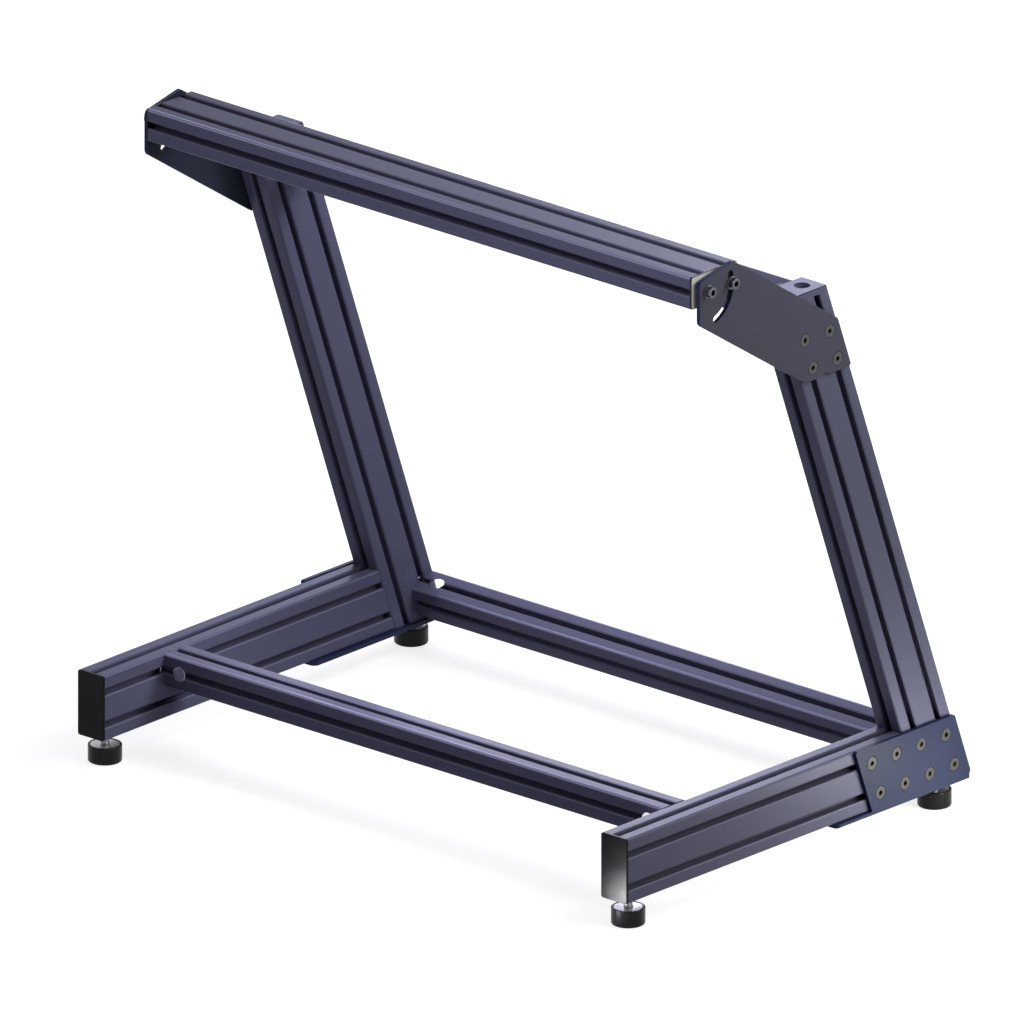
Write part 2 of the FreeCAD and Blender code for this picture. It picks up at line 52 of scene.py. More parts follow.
# Slotted profile, by the cell
CELL = 40 * MM
PROFILE_CORNER_R = 3 * MM
SLOT_MOUTH = 8.2 * MM
SLOT_SHOULDER_WIDTH = 11.4 * MM
SLOT_SHOULDER_DEPTH = 1.0 * MM
SLOT_SHOULDER_R = 0.4 * MM
SLOT_LIP = 4.5 * MM
SLOT_LIP_R = 0.3 * MM
SLOT_CAVITY_WIDTH = 20 * MM
SLOT_CAVITY_R = 0.6 * MM
SLOT_KNEE_DEPTH = 8 * MM
SLOT_KNEE_R = 0.8 * MM
SLOT_FLOOR_WIDTH = 11.5 * MM
SLOT_DEPTH = 12.25 * MM
CORE_BORE_D = 6.8 * MM
CHAMBER_WALL = 4.5 * MM
CHAMBER_HEIGHT = 11 * MM
CHAMBER_CORNER_R = 2 * MM

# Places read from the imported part
rail_low, rail_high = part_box("right_base_rail")
upright_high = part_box("right_upright")[1]
bar_low, bar_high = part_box("tilting_bar")
flange_low, plate_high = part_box("right_lower_bracket")
upper_plate_low, upper_plate_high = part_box("right_upper_bracket")
pivot_low, pivot_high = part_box("right_pivot_screw")
lock_low, lock_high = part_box("right_lock_screw")
front_beam_low, front_beam_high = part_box("front_cross_beam")

HALF_WIDTH = rail_high.x
RAIL_X = HALF_WIDTH - CELL / 2
RAIL_BOTTOM = rail_low.z
RAIL_TOP = rail_high.z
LEVEL_CELL = CELL / math.cos(TILT)
UPRIGHT_FOOT_Y = upright_high.y - LEVEL_CELL
UPRIGHT_TOP = upright_high.z
CAP_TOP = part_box("right_top_cap")[1].z
INNER_HALF = HALF_WIDTH - CELL
PLATE = upper_plate_high.x - upper_plate_low.x
PLATE_FACE_X = HALF_WIDTH + PLATE
PIVOT_Y = (pivot_low.y + pivot_high.y) / 2
LOCK_Y = (lock_low.y + lock_high.y) / 2
BAR_Z = (bar_low.z + bar_high.z) / 2
BAR_Y = (bar_low.y + bar_high.y) / 2
BAR_HALF = bar_high.x
BRACKET_BOTTOM = upper_plate_low.z

# End caps and top caps
CAP_RIM_R = 0.9 * MM
TOP_HOLE_D = 17.4 * MM

# Plates; the lower brackets' flange ends FLANGE_SHORT behind the solid's, as in the photograph
PLATE_EDGE = 0.45 * MM
PLATE_OVERHANG = 1 * MM
FLANGE_CORNER_R = 8 * MM
FLANGE_SHORT = 8 * MM
FLANGE_SETBACK = 3 * MM
BEND_R = 3 * MM
REAR_CORNER_R = 6 * MM
TOP_CORNER_R = 3 * MM
INNER_CORNER_R = 0.5 * MM

# Screws and their nuts; a head's worn edge is rings up to its face, each (narrower by, lower by)
SCREW_D = 8 * MM
SCREW_GAP = 0.3 * MM
COUNTERSINK_D = 17.2 * MM
SEAT_WEAR = 0.2 * MM
SCREW_HEAD_D = 15.6 * MM
SCREW_HEAD_EDGE = ((0.0, 0.35 * MM), (0.15 * MM, 0.1 * MM), (0.6 * MM, 0.0))
SCREW_CONE_DROP = 0.2 * MM
SCREW_SOCKET = 5 * MM
SCREW_SOCKET_DEPTH = 2.6 * MM
NUT_LENGTH = 20 * MM
NUT_WIDTH = 17 * MM
NUT_THICKNESS = 5 * MM
NUT_CHAMFER = 1.6 * MM
NUT_EDGE = 0.4 * MM
NUT_CORNER_R = 1.2 * MM

# Pivot and lock screws with their washers; the arc slot ends half a degree past the bar's range
CAP_HEAD_D = 13 * MM
CAP_HEAD_HEIGHT = 8 * MM
CAP_HEAD_EDGE = ((0.15 * MM, 0.5 * MM), (0.5 * MM, 0.15 * MM), (0.9 * MM, 0.0))
CAP_SOCKET = 6 * MM
CAP_SOCKET_DEPTH = 4 * MM
KNURL_DEPTH = 0.12 * MM
WASHER_D = 16 * MM
WASHER_THICKNESS = 1.6 * MM
WASHER_EDGE = 0.25 * MM
PIVOT_GAP = 0.1 * MM
ARC_SLOT_GAP = 0.4 * MM
ARC_SLOT_LOW = math.radians(-70.5)
ARC_SLOT_HIGH = math.radians(15.5)

# Barrel fasteners
BARREL_D = 18.6 * MM
BARREL_DEPTH = 19 * MM
BARREL_CHAMFER = 0.6 * MM
BARREL_GAP = 0.05 * MM
BARREL_X = INNER_HALF - 22 * MM
BARREL_BOLT_D = 7 * MM
BARREL_BOLT_DEPTH = 8.4 * MM
SEAT_FLARE = 0.8 * MM

# Levelling feet
PAD_BASE_R = 2.5 * MM
PAD_RIM_R = 1.2 * MM
PAD_RECESS_R = 17.55 * MM
PAD_RECESS_WEAR = 0.15 * MM
DISC_R = 17.4 * MM
DISC_HEIGHT = 2 * MM
DISC_CHAMFER = 0.4 * MM
COLLAR_R = 5 * MM

# Faces that meet at more degrees than these keep a crisp edge
SHARP_ANGLE = 32
KNURL_ANGLE = 25
FOOT_ANGLE = 40

# Cutters reach this far past what they cut
OVERCUT = 1 * MM


def upright_y(across, z):
    """Y of the point that lies `across` the uprights from their centre line, at height z."""
    return UPRIGHT_FOOT_Y - (z - RAIL_BOTTOM) * math.tan(TILT) + across / math.cos(TILT)


# Screw places, across the uprights and up
RAIL_SCREWS_ACROSS = (-2.5 * CELL, -1.5 * CELL)
UPRIGHT_SCREWS_ACROSS = (-CELL / 2, CELL / 2)
LOWER_SCREW_HEIGHTS = (RAIL_BOTTOM + CELL / 2, RAIL_BOTTOM + 3 * CELL / 2)
FIRST_UPPER_SCREW = BRACKET_BOTTOM + 15 * MM
UPPER_SCREW_HEIGHTS = (FIRST_UPPER_SCREW, FIRST_UPPER_SCREW + CELL * math.cos(TILT))
UPRIGHT_SLOT_ANGLE = 90 + math.degrees(TILT)

# Lower brackets, from the side
LOWER_FRONT = flange_low.y + FLANGE_SHORT
LOWER_REAR = upright_y(CELL + PLATE_OVERHANG, RAIL_BOTTOM)
FLANGE_REAR = upright_y(CELL, RAIL_BOTTOM) - FLANGE_SETBACK


# Placements: a piece is made in its own frame and its object puts it in the stand
def at(x, y, z, *turns):
    """Matrix that turns about the axes named, the last first, and then moves to a point."""
    matrix = Matrix.Translation((x, y, z))
    for degrees, axis in turns:
        matrix = matrix @ Matrix.Rotation(math.radians(degrees), 4, axis)
    return matrix


# Local X runs to +Y, local Y up and local Z outward to +X
SIDE_VIEW = Matrix(((0, 0, 1, 0), (1, 0, 0, 0), (0, 1, 0, 0), (0, 0, 0, 1)))


def side_at(x, y, z):
    """Matrix that puts a piece drawn from the side at a point."""
    return Matrix.Translation((x, y, z)) @ SIDE_VIEW


def level_ends(half_length):
    """The two planes, each (point, normal), that end a profile along X."""
    return ((-half_length, 0, 0), (1, 0, 0)), ((half_length, 0, 0), (1, 0, 0))


# Mesh tools
def placed_object(name, mesh, place):
    """Object of a mesh, put in the scene at its place."""
    piece = bpy.data.objects.new(name, mesh)
    bpy.context.scene.collection.objects.link(piece)
    piece.matrix_world = place
    return piece


def object_from(shape, name, place):
    """Object from a built shape, its faces all turned outward."""
    mesh = bpy.data.meshes.new(name)
    bmesh.ops.recalc_face_normals(shape, faces=shape.faces)
    shape.to_mesh(mesh)
    shape.free()
    return placed_object(name, mesh, place)


def smooth(piece, angle):
    """Smooth faces, kept crisp where they meet at more than the angle."""
    piece.data.shade_smooth()
    piece.data.set_sharp_from_angle(angle=math.radians(angle))
    weighted = piece.modifiers.new("Even normals", "WEIGHTED_NORMAL")
    weighted.keep_sharp = True


def bake(piece):
    """Makes the piece's modifiers real."""
    bpy.context.view_layer.update()
    graph = bpy.context.evaluated_depsgraph_get()
    mesh = bpy.data.meshes.new_from_object(piece.evaluated_get(graph))
    piece.modifiers.clear()
    old = piece.data
    piece.data = mesh
    bpy.data.meshes.remove(old)


def remove(piece):
    """Takes a piece and its mesh away."""
    mesh = piece.data
    bpy.data.objects.remove(piece)
    bpy.data.meshes.remove(mesh)


def cut(piece, cutters, operation="DIFFERENCE"):
    """The piece less its cutters, or what it shares with them. The cutters are used up."""
    for cutter in cutters:
        modifier = piece.modifiers.new("Cut", "BOOLEAN")
        modifier.operation = operation
        modifier.solver = "EXACT"
        modifier.object = cutter
    bake(piece)
    for cutter in cutters:
        remove(cutter)
    return piece


def merge_flat_faces(piece):
    """Joins points that coincide and faces that lie in one plane, so that only true edges are left."""
    shape = bmesh.new()
    shape.from_mesh(piece.data)
    bmesh.ops.remove_doubles(shape, verts=shape.verts, dist=0.01 * MM)
    bmesh.ops.dissolve_limit(shape, angle_limit=math.radians(1), verts=shape.verts, edges=shape.edges)
    shape.to_mesh(piece.data)
    shape.free()


def joined(name, parts):
    """One object from several, in the frame of the first."""
    shape = bmesh.new()
    base = parts[0].matrix_world.inverted()
    place = parts[0].matrix_world.copy()
    for part in parts:
        mesh = part.data.copy()
        mesh.transform(base @ part.matrix_world)
        shape.from_mesh(mesh)
        bpy.data.meshes.remove(mesh)
        remove(part)
    mesh = bpy.data.meshes.new(name)
    shape.to_mesh(mesh)
    shape.free()
    return placed_object(name, mesh, place)


def mirrored(piece, name):
    """The same piece on the other side of X = 0."""
    flip = Matrix.Scale(-1, 4, (0, 0, 1))
    mesh = piece.data.copy()
    mesh.transform(flip)
    mesh.flip_normals()
    return placed_object(name, mesh, Matrix.Scale(-1, 4, (1, 0, 0)) @ piece.matrix_world @ flip)


# Outlines in a plane
def rounded(corners, steps=4):
    """Closed outline from (a, b, radius) corners, an arc in place of each corner with a radius."""
    outline = []
    count = len(corners)
    for i, (a, b, radius) in enumerate(corners):
        here = Vector((a, b))
        if radius <= 0:
            outline.append(here)
            continue
        before = (Vector(corners[i - 1][:2]) - here).normalized()
        after = (Vector(corners[(i + 1) % count][:2]) - here).normalized()
        half_angle = before.angle(after) / 2
        centre = here + (before + after).normalized() * radius / math.sin(half_angle)
        reach = radius / math.tan(half_angle)
        start = here + before * reach - centre
        sweep = start.angle_signed(here + after * reach - centre)
        for k in range(steps + 1):
            turn = Matrix.Rotation(-sweep * k / steps, 2)
            outline.append(centre + turn @ start)
    return outline


def rounded_rectangle(width, height, radius, steps=8):
    x = width / 2
    y = height / 2
    return rounded([(x, -y, radius), (x, y, radius), (-x, y, radius), (-x, -y, radius)], steps)


def circle(diameter, steps=48, centre=(0, 0)):
    turns = [2 * math.pi * i / steps for i in range(steps)]
    radius = diameter / 2
    return [Vector((centre[0] + radius * math.cos(t), centre[1] + radius * math.sin(t))) for t in turns]


def arc(centre, radius, start, end, steps):
    """Points (a, b) on an arc from one angle to another, both ends included."""
    turns = [start + (end - start) * k / steps for k in range(steps + 1)]
    return [(centre[0] + radius * math.cos(t), centre[1] + radius * math.sin(t)) for t in turns]


def hexagon(across_flats, steps, scale=1.0):
    """A hexagon with as many points as a circle, so that rings can join them."""
    sector = math.pi / 3
    points = []
    for i in range(steps):
        turn = 2 * math.pi * i / steps
        off_flat = (turn + sector / 2) % sector - sector / 2
        radius = scale * across_flats / 2 / math.cos(off_flat)
        points.append(Vector((radius * math.cos(turn), radius * math.sin(turn))))
    return points


def rim(radius, steps):
    """(inset, drop) pairs of an edge rounded by a quarter circle, from its foot up to its top."""
    turns = [math.radians(90) * k / steps for k in range(steps + 1)]
    return [(radius * (1 - math.cos(turn)), radius * (1 - math.sin(turn))) for turn in turns]


def turned_round(outline, sense):
    """The outline, running anticlockwise where sense is 1 and clockwise where it is -1."""
    doubled = sum(outline[i - 1].cross(outline[i]) for i in range(len(outline)))
    return outline if doubled * sense > 0 else outline[::-1]


def offset(outline, distance):
    """The outline, moved to the left of the way it runs."""
    moved = []
    count = len(outline)
    for i, here in enumerate(outline):
        along = (outline[(i + 1) % count] - outline[i - 1]).normalized()
        moved.append(here + distance * Vector((-along.y, along.x)))
    return moved


# Solids
def ring_loops(shape, rings):
    """Loops of vertices from rings of points, each ring (outline, height)."""
    return [[shape.verts.new((p.x, p.y, z)) for p in outline] for outline, z in rings]


def wall(shape, loops):
    """Joins each loop of vertices to the next by a band of faces."""
    for lower, upper in zip(loops, loops[1:]):
        for i in range(len(lower)):
            shape.faces.new((lower[i - 1], lower[i], upper[i], upper[i - 1]))


def end_face(shape, loops, flat):
    """Closes an end, an outline and its holes, in triangles found from its flat loops of points."""
    vertices = [vertex for loop in loops for vertex in loop]
    for triangle in tessellate_polygon(flat):
        shape.faces.new([vertices[i] for i in triangle])


def rings_solid(name, rings, place):
    """Solid from rings of points, each ring (outline, height), with flat ends."""
    shape = bmesh.new()
    loops = ring_loops(shape, rings)
    wall(shape, loops)
    shape.faces.new(loops[0])
    shape.faces.new(loops[-1])
    return object_from(shape, name, place)


def block(name, outline, height, place=Matrix.Identity(4)):
    """Solid of one outline from local Z = 0 to its height."""
    return rings_solid(name, [(outline, 0.0), (outline, height)], place)


def turned(name, sides, place, steps=64):
    """Solid turned about local Z from (radius, height) points."""
    point_r = 0.02 * MM
    rings = [(circle(2 * max(radius, point_r), steps), z) for radius, z in sides]
    return rings_solid(name, rings, place)


def slot_corners(x, y, angle):
    """Corners of one T-slot whose mouth is centred on (x, y); at angle 0 it opens to +Y."""
    half = [
        (SLOT_SHOULDER_WIDTH / 2, 0.0, SLOT_SHOULDER_R),
        (SLOT_MOUTH / 2, -SLOT_SHOULDER_DEPTH, SLOT_LIP_R),
        (SLOT_MOUTH / 2, -SLOT_LIP, SLOT_LIP_R),
        (SLOT_CAVITY_WIDTH / 2, -SLOT_LIP, SLOT_CAVITY_R),
        (SLOT_CAVITY_WIDTH / 2, -SLOT_KNEE_DEPTH, SLOT_KNEE_R),
        (SLOT_FLOOR_WIDTH / 2, -SLOT_DEPTH, SLOT_KNEE_R),
    ]
    corners = half + [(-a, b, radius) for a, b, radius in reversed(half)]
    turn = Matrix.Rotation(math.radians(angle), 2)
    placed = []
    for a, b, radius in corners:
        point = turn @ Vector((a, b)) + Vector((x, y))
        placed.append((point.x, point.y, radius))
    return placed


def profile_section(cells):
    """Outline and holes of the profile, one cell wide in X and `cells` high in Y."""
    x = CELL / 2
    y = cells * CELL / 2
    centres = [(i - (cells - 1) / 2) * CELL for i in range(cells)]
    corners = [(x, -y, PROFILE_CORNER_R)]
    for centre in centres:
        corners += slot_corners(x, centre, -90)
    corners.append((x, y, PROFILE_CORNER_R))
    corners += slot_corners(0, y, 0)
    corners.append((-x, y, PROFILE_CORNER_R))
    for centre in reversed(centres):
        corners += slot_corners(-x, centre, 90)
    corners.append((-x, -y, PROFILE_CORNER_R))
    corners += slot_corners(0, -y, 180)
    holes = [circle(CORE_BORE_D, steps=24, centre=(0, centre)) for centre in centres]
    for lower in centres[:-1]:
        chamber = rounded_rectangle(CELL - 2 * CHAMBER_WALL, CHAMBER_HEIGHT, CHAMBER_CORNER_R, steps=4)
        holes.append([p + Vector((0, lower + CELL / 2)) for p in chamber])
    return rounded(corners), holes


def profile(name, cells, place, start, end):
    """Profile along local Z between two planes of the stand's frame, each (point, normal)."""
    outline, holes = profile_section(cells)
    shape = bmesh.new()
    inverse = place.inverted()
    ends = []
    for point, normal in (start, end):
        local_point = inverse @ Vector(point)
        local_normal = inverse.to_3x3() @ Vector(normal)
        loops = []
        for loop in [outline] + holes:
            heights = [((local_point - p.to_3d()) @ local_normal) / local_normal.z for p in loop]
            loops.append([shape.verts.new((p.x, p.y, z)) for p, z in zip(loop, heights)])
        ends.append(loops)
    for first_and_last in zip(*ends):
        wall(shape, first_and_last)
    flat = [[p.to_3d() for p in loop] for loop in [outline] + holes]
    for loops in ends:
        end_face(shape, loops, flat)
    return object_from(shape, name, place)


def end_cap(name, place, thickness):
    """Rounded cap over a two-cell end, its outer face at the top of local Z."""
    rings = [(rounded_rectangle(CELL, 2 * CELL, PROFILE_CORNER_R), 0.0)]
    for inset, drop in rim(CAP_RIM_R, 5):
        outline = rounded_rectangle(CELL - 2 * inset, 2 * (CELL - inset), PROFILE_CORNER_R - inset)
        rings.append((outline, thickness - drop))
    return rings_solid(name, rings, place)


def seat_sides(thickness):
    """(radius, height) points of a sunk screw's seat with a worn edge, through a plate."""
    wide = COUNTERSINK_D / 2
    narrow = SCREW_D / 2 + SCREW_GAP
    return [
        (narrow, 0.0),
        (narrow, thickness - (wide - narrow)),
        (wide - SEAT_WEAR, thickness - SEAT_WEAR),
        (wide, thickness - SEAT_WEAR / 4),
        (wide + SEAT_WEAR / 2, thickness),
    ]


def plate(name, outline, holes, seats, thickness, place):
    """Plate in local XY from Z = 0 to its thickness, with rounded edges, holes and screw seats."""
    walls = []
    for loop, sense in [(outline, 1)] + [(hole, -1) for hole in holes]:
        loop = turned_round(loop, sense)
        rings = [(offset(loop, inset), drop) for inset, drop in reversed(rim(PLATE_EDGE, 3))]
        rings += [(ring, thickness - height) for ring, height in reversed(rings)]
        walls.append(rings)
    for centre in seats:
        sides = seat_sides(thickness)
        walls.append([(circle(2 * radius, centre=centre)[::-1], height) for radius, height in sides])
    shape = bmesh.new()
    ends = ([], [])
    for rings in walls:
        loops = ring_loops(shape, rings)
        wall(shape, loops)
        ends[0].append(loops[0])
        ends[1].append(loops[-1])
    for loops in ends:
        end_face(shape, loops, [[vertex.co for vertex in loop] for loop in loops])
    return object_from(shape, name, place)


# Materials, all procedural
NOISE_LOW = 0.3
NOISE_HIGH = 0.7


def new_material(name):
    material = bpy.data.materials.new(name)
    material.use_nodes = True
    nodes = material.node_tree.nodes
    return material, nodes, material.node_tree.links, nodes["Principled BSDF"]


def noise(nodes, links, scale, detail, stretch=(1, 1, 1)):
    """Noise in the piece's own space, finer along the axes with the larger stretch."""
    coordinates = nodes.new("ShaderNodeTexCoord")
    mapping = nodes.new("ShaderNodeMapping")
    mapping.inputs["Scale"].default_value = stretch
    texture = nodes.new("ShaderNodeTexNoise")
    texture.inputs["Scale"].default_value = scale
    texture.inputs["Detail"].default_value = detail
    links.new(coordinates.outputs["Object"], mapping.inputs["Vector"])
    links.new(mapping.outputs["Vector"], texture.inputs["Vector"])
    return texture.outputs["Fac"]


def ranged(nodes, links, value, low, high, least=NOISE_LOW, most=NOISE_HIGH):
    """The value, spread from least and most, where a noise mainly lies, to low and high."""
    spread = nodes.new("ShaderNodeMapRange")
    spread.inputs["From Min"].default_value = least
    spread.inputs["From Max"].default_value = most
    spread.inputs["To Min"].default_value = low
    spread.inputs["To Max"].default_value = high
    links.new(value, spread.inputs["Value"])
    return spread.outputs["Result"]


def tinted(nodes, links, value, colour, spread):
    """The colour, a little darker and lighter with the value."""
    mix = nodes.new("ShaderNodeMix")
    mix.data_type = "RGBA"
    mix.inputs["A"].default_value = tuple(c * (1 - spread) for c in colour) + (1,)
    mix.inputs["B"].default_value = tuple(c * (1 + spread) for c in colour) + (1,)
    links.new(value, mix.inputs["Factor"])
    return mix.outputs["Result"]


def bumped(nodes, links, shader, height, strength, distance):
    """Gives the shader fine relief from a height."""
    bump = nodes.new("ShaderNodeBump")
    bump.inputs["Strength"].default_value = strength
    bump.inputs["Distance"].default_value = distance
    links.new(height, bump.inputs["Height"])
    links.new(bump.outputs["Normal"], shader.inputs["Normal"])


def metal(name, colour, roughness, metallic, stretch=(900, 900, 7), spread=0.05, bump=0.06,
          gloss=0.5, tint=1.0):
    """Metal with cloudy tone and a fine grain, drawn along local Z unless the stretch is even."""
    material, nodes, links, shader = new_material(name)
    clouds = noise(nodes, links, scale=14, detail=4)
    grain = noise(nodes, links, scale=1, detail=3, stretch=stretch)
    uneven = ranged(nodes, links, grain, low=roughness * 0.9, high=roughness * 1.1)
    links.new(tinted(nodes, links, clouds, colour, spread), shader.inputs["Base Color"])
    links.new(uneven, shader.inputs["Roughness"])
    shader.inputs["Metallic"].default_value = metallic
    shader.inputs["Specular IOR Level"].default_value = gloss
    shader.inputs["Specular Tint"].default_value = (tint, tint, 1, 1)
    bumped(nodes, links, shader, grain, strength=bump, distance=0.05 * MM)
    return material


def paint(name, colour, roughness=0.42, gloss=0.05):
    """Fine-grained powder paint."""
    material, nodes, links, shader = new_material(name)
    clouds = noise(nodes, links, scale=25, detail=3)
    grain = noise(nodes, links, scale=1600, detail=2)
    uneven = ranged(nodes, links, grain, low=roughness * 0.9, high=roughness * 1.12)
    links.new(tinted(nodes, links, clouds, colour, spread=0.06), shader.inputs["Base Color"])
    links.new(uneven, shader.inputs["Roughness"])
    shader.inputs["Specular IOR Level"].default_value = gloss
    bumped(nodes, links, shader, grain, strength=0.12, distance=0.06 * MM)
    return material


def moulding(name, colour, roughness, gloss=0.1):
    """Smooth moulding with faint flow marks."""
    material, nodes, links, shader = new_material(name)
    flow = noise(nodes, links, scale=30, detail=3)
    grain = noise(nodes, links, scale=700, detail=2)
    uneven = ranged(nodes, links, flow, low=roughness * 0.8, high=roughness * 1.25)
    links.new(tinted(nodes, links, flow, colour, spread=0.15), shader.inputs["Base Color"])
    links.new(uneven, shader.inputs["Roughness"])
    shader.inputs["Specular IOR Level"].default_value = gloss
    bumped(nodes, links, shader, grain, strength=0.05, distance=0.03 * MM)
    return material


def anodised(name, colour, roughness=0.36, metallic=0.03, gloss=0.05, **rest):
    """Dull anodised metal with a bluish gloss."""
    return metal(name, colour, roughness, metallic, gloss=gloss, tint=0.6, **rest)


ANODISED = anodised("Anodised profile", (0.095, 0.096, 0.17))
# Lighter copy of the anodising for top edges on the driver's side: a painted highlight.
PAINTED_HIGHLIGHT_EDGE = anodised("Anodised edge, painted highlight", (0.19, 0.19, 0.30), 0.30, 0.35, gloss=0.2, spread=0.08)
# Lighter copy of the anodising for up-facing slot chamfers: a painted highlight.
PAINTED_HIGHLIGHT_LIP = anodised("Anodised slot lip, painted highlight", (0.15, 0.15, 0.235))
# Lighter copy of the anodising for the top caps' top faces: painted light from above.
PAINTED_LIGHT_CAP_TOP = anodised("Cap top, painted light", (0.115, 0.115, 0.215), gloss=0.06, stretch=(120, 120, 120))
BLACK_CAP = moulding("Black cap", (0.005, 0.005, 0.007), roughness=0.38, gloss=0.08)
# Pale outer face of the bar's black caps: a painted reflection.
PAINTED_REFLECTION_FACE = moulding("Cap face, painted reflection", (0.55, 0.55, 0.60), roughness=0.35, gloss=0.3)
# Black for the insides of sockets and the top caps' edges and underside: painted shade.
PAINTED_HOLLOW_SHADE = moulding("Black hollow, painted shade", (0.006, 0.006, 0.008), roughness=0.5)
BLUE_PAINT = paint("Blue-grey paint", (0.028, 0.033, 0.077))
DARK_PAINT = paint("Dark grey paint", (0.066, 0.065, 0.103))
# Darker copy of the paint for plates' cut edges and screw seats: painted shade.
PAINTED_SHADE_EDGE = paint("Navy edge, painted shade", (0.02, 0.024, 0.075))
# Darker copy of the dark grey paint for the upper plates' inner faces: painted shade.
PAINTED_SHADE_INSIDE = paint("Inner face, painted shade", (0.02, 0.0235, 0.044))
FINE_GRAIN = (300, 300, 300)
GREY_SCREW = metal("Grey screw", (0.10, 0.10, 0.115), 0.4, 0.1, FINE_GRAIN, gloss=0.06)
DULL_SCREW = metal("Dull grey screw", (0.066, 0.066, 0.075), 0.4, 0.1, FINE_GRAIN, gloss=0.05)
DARK_SCREW = metal("Dark screw", (0.12, 0.12, 0.15), 0.32, 1.0, FINE_GRAIN)
POLISHED = metal("Polished fastener", (0.75, 0.75, 0.78), 0.12, 1.0, (200, 200, 200),
                 spread=0.03, bump=0.02)
RUBBER = moulding("Foot moulding", (0.007, 0.007, 0.009), roughness=0.25, gloss=0.15)
BRIGHT_STEEL = metal("Bright steel", (0.33, 0.33, 0.34), 0.30, 1.0, (250, 250, 250))


# Finished pieces
def show(piece, node, materials, body="frame", angle=SHARP_ANGLE):
    """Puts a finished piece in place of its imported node; its faces keep the material index they have."""
    piece.name = node + "_look"
    piece.data.name = piece.name
    chosen = [face.material_index for face in piece.data.polygons]
    piece.data.materials.clear()
    for material in materials:
        piece.data.materials.append(material)
    piece.data.polygons.foreach_set("material_index", chosen)
    smooth(piece, angle)
    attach(piece, body)
    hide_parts(node)


def show_pair(piece, name, materials, body="frame", angle=SHARP_ANGLE):
    """Shows a right-hand piece and its mirror image on the left."""
    other = mirrored(piece, "left_" + name)
    show(piece, "right_" + name, materials, body, angle)
    show(other, "left_" + name, materials, body, angle)


def faces_with(piece, index, chosen):
    """Gives the faces for which chosen(face) holds the material of that index."""
    for face in piece.data.polygons:
        if chosen(face):
            face.material_index = index
    return piece


def socket_painted_shade(screw, width):
    """The inside of a screw's socket, below its end face at local Z = 0, takes the second material, black
    painted shade.
    """
    reach = 1.2 * width / 2
    deepest = -2 * width
    skin = 0.1 * MM

    def inside(face):
        return face.center.xy.length < reach and deepest < face.center.z < -skin

    return faces_with(screw, 1, inside)


def painted_shade_edges(piece):
    """A right-hand plate's cut edges and screw seats take the second material, a darker copy of the paint
    as painted shade, and its inner face the third; its outer face and what lies under the rail keep the
    first."""
    place = piece.matrix_world
    turn = place.to_3x3()
    flat = 0.75

    def at_edge(face):
        return (turn @ face.normal).x < flat and (place @ face.center).z > RAIL_BOTTOM

    def inside(face):
        return (turn @ face.normal).x < -flat and (place @ face.center).z > RAIL_BOTTOM

    return faces_with(faces_with(piece, 1, at_edge), 2, inside)


def painted_highlight_edge(piece):
    """A level profile's top edge on the driver's side takes the second material, a lighter copy of the
    anodising painted on as the highlight where the edge catches the light."""
    half_height = max(vertex.co.y for vertex in piece.data.vertices)
    turn = piece.matrix_world.to_3x3()
    least = 0.05

    def at_edge(face):
        at_corner = abs(face.center.x) > CELL / 2 - PROFILE_CORNER_R
        at_corner = at_corner and abs(face.center.y) > half_height - PROFILE_CORNER_R
        normal = turn @ face.normal
        return at_corner and normal.z > least and normal.y < -least

    return faces_with(piece, 1, at_edge)


def painted_highlight_lips(piece, index):
    """Slopes just below a level profile's outer faces, at its slots and corners, take the material of
    that index where they face up and also to a side or to the driver: a lighter copy of the anodising,
    painted as the highlight these slopes catch."""
    half_height = max(vertex.co.y for vertex in piece.data.vertices)
    turn = piece.matrix_world.to_3x3()
    skin = 0.15 * MM
    least_up, most_up = 0.3, 0.9
    sideways = 0.7
    forward = 0.5

    def at_slope(face):
        depth = min(CELL / 2 - abs(face.center.x), half_height - abs(face.center.y))
        if not skin < depth < SLOT_SHOULDER_DEPTH - skin:
            return False
        normal = turn @ face.normal
        return least_up < normal.z < most_up and (abs(normal.x) > sideways or normal.y < -forward)

    return faces_with(piece, index, at_slope)


# Base rails and their caps
def base_rails():
    """Rails on edge, square at the front and mitred at the back along the uprights' front faces."""
    front_y = rail_low.y
    middle_z = (RAIL_BOTTOM + RAIL_TOP) / 2
    mitre = (0, upright_y(-CELL, RAIL_BOTTOM), RAIL_BOTTOM)
    lean = (0, math.cos(TILT), math.sin(TILT))
    place = at(RAIL_X, front_y, middle_z, (90, "X"))
    rail = profile("rail", 2, place, (mitre, lean), ((0, front_y, 0), (0, 1, 0)))
    # Up-facing slot chamfers get a lighter painted highlight.
    show_pair(painted_highlight_lips(rail, 1), "base_rail", (ANODISED, PAINTED_HIGHLIGHT_LIP))
    cap_low, cap_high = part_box("right_rail_end_cap")
    cap_place = at(RAIL_X, cap_high.y, middle_z, (90, "X"))
    cap = end_cap("cap", cap_place, cap_high.y - cap_low.y)
    show_pair(cap, "rail_end_cap", (BLACK_CAP,))


# Uprights and their caps
def uprights():
    place = at(RAIL_X, UPRIGHT_FOOT_Y, RAIL_BOTTOM, (math.degrees(TILT), "X"))
    bottom = ((0, 0, RAIL_BOTTOM), (0, 0, 1))
    top = ((0, 0, UPRIGHT_TOP), (0, 0, 1))
    show_pair(profile("upright", 2, place, bottom, top), "upright", (ANODISED,))


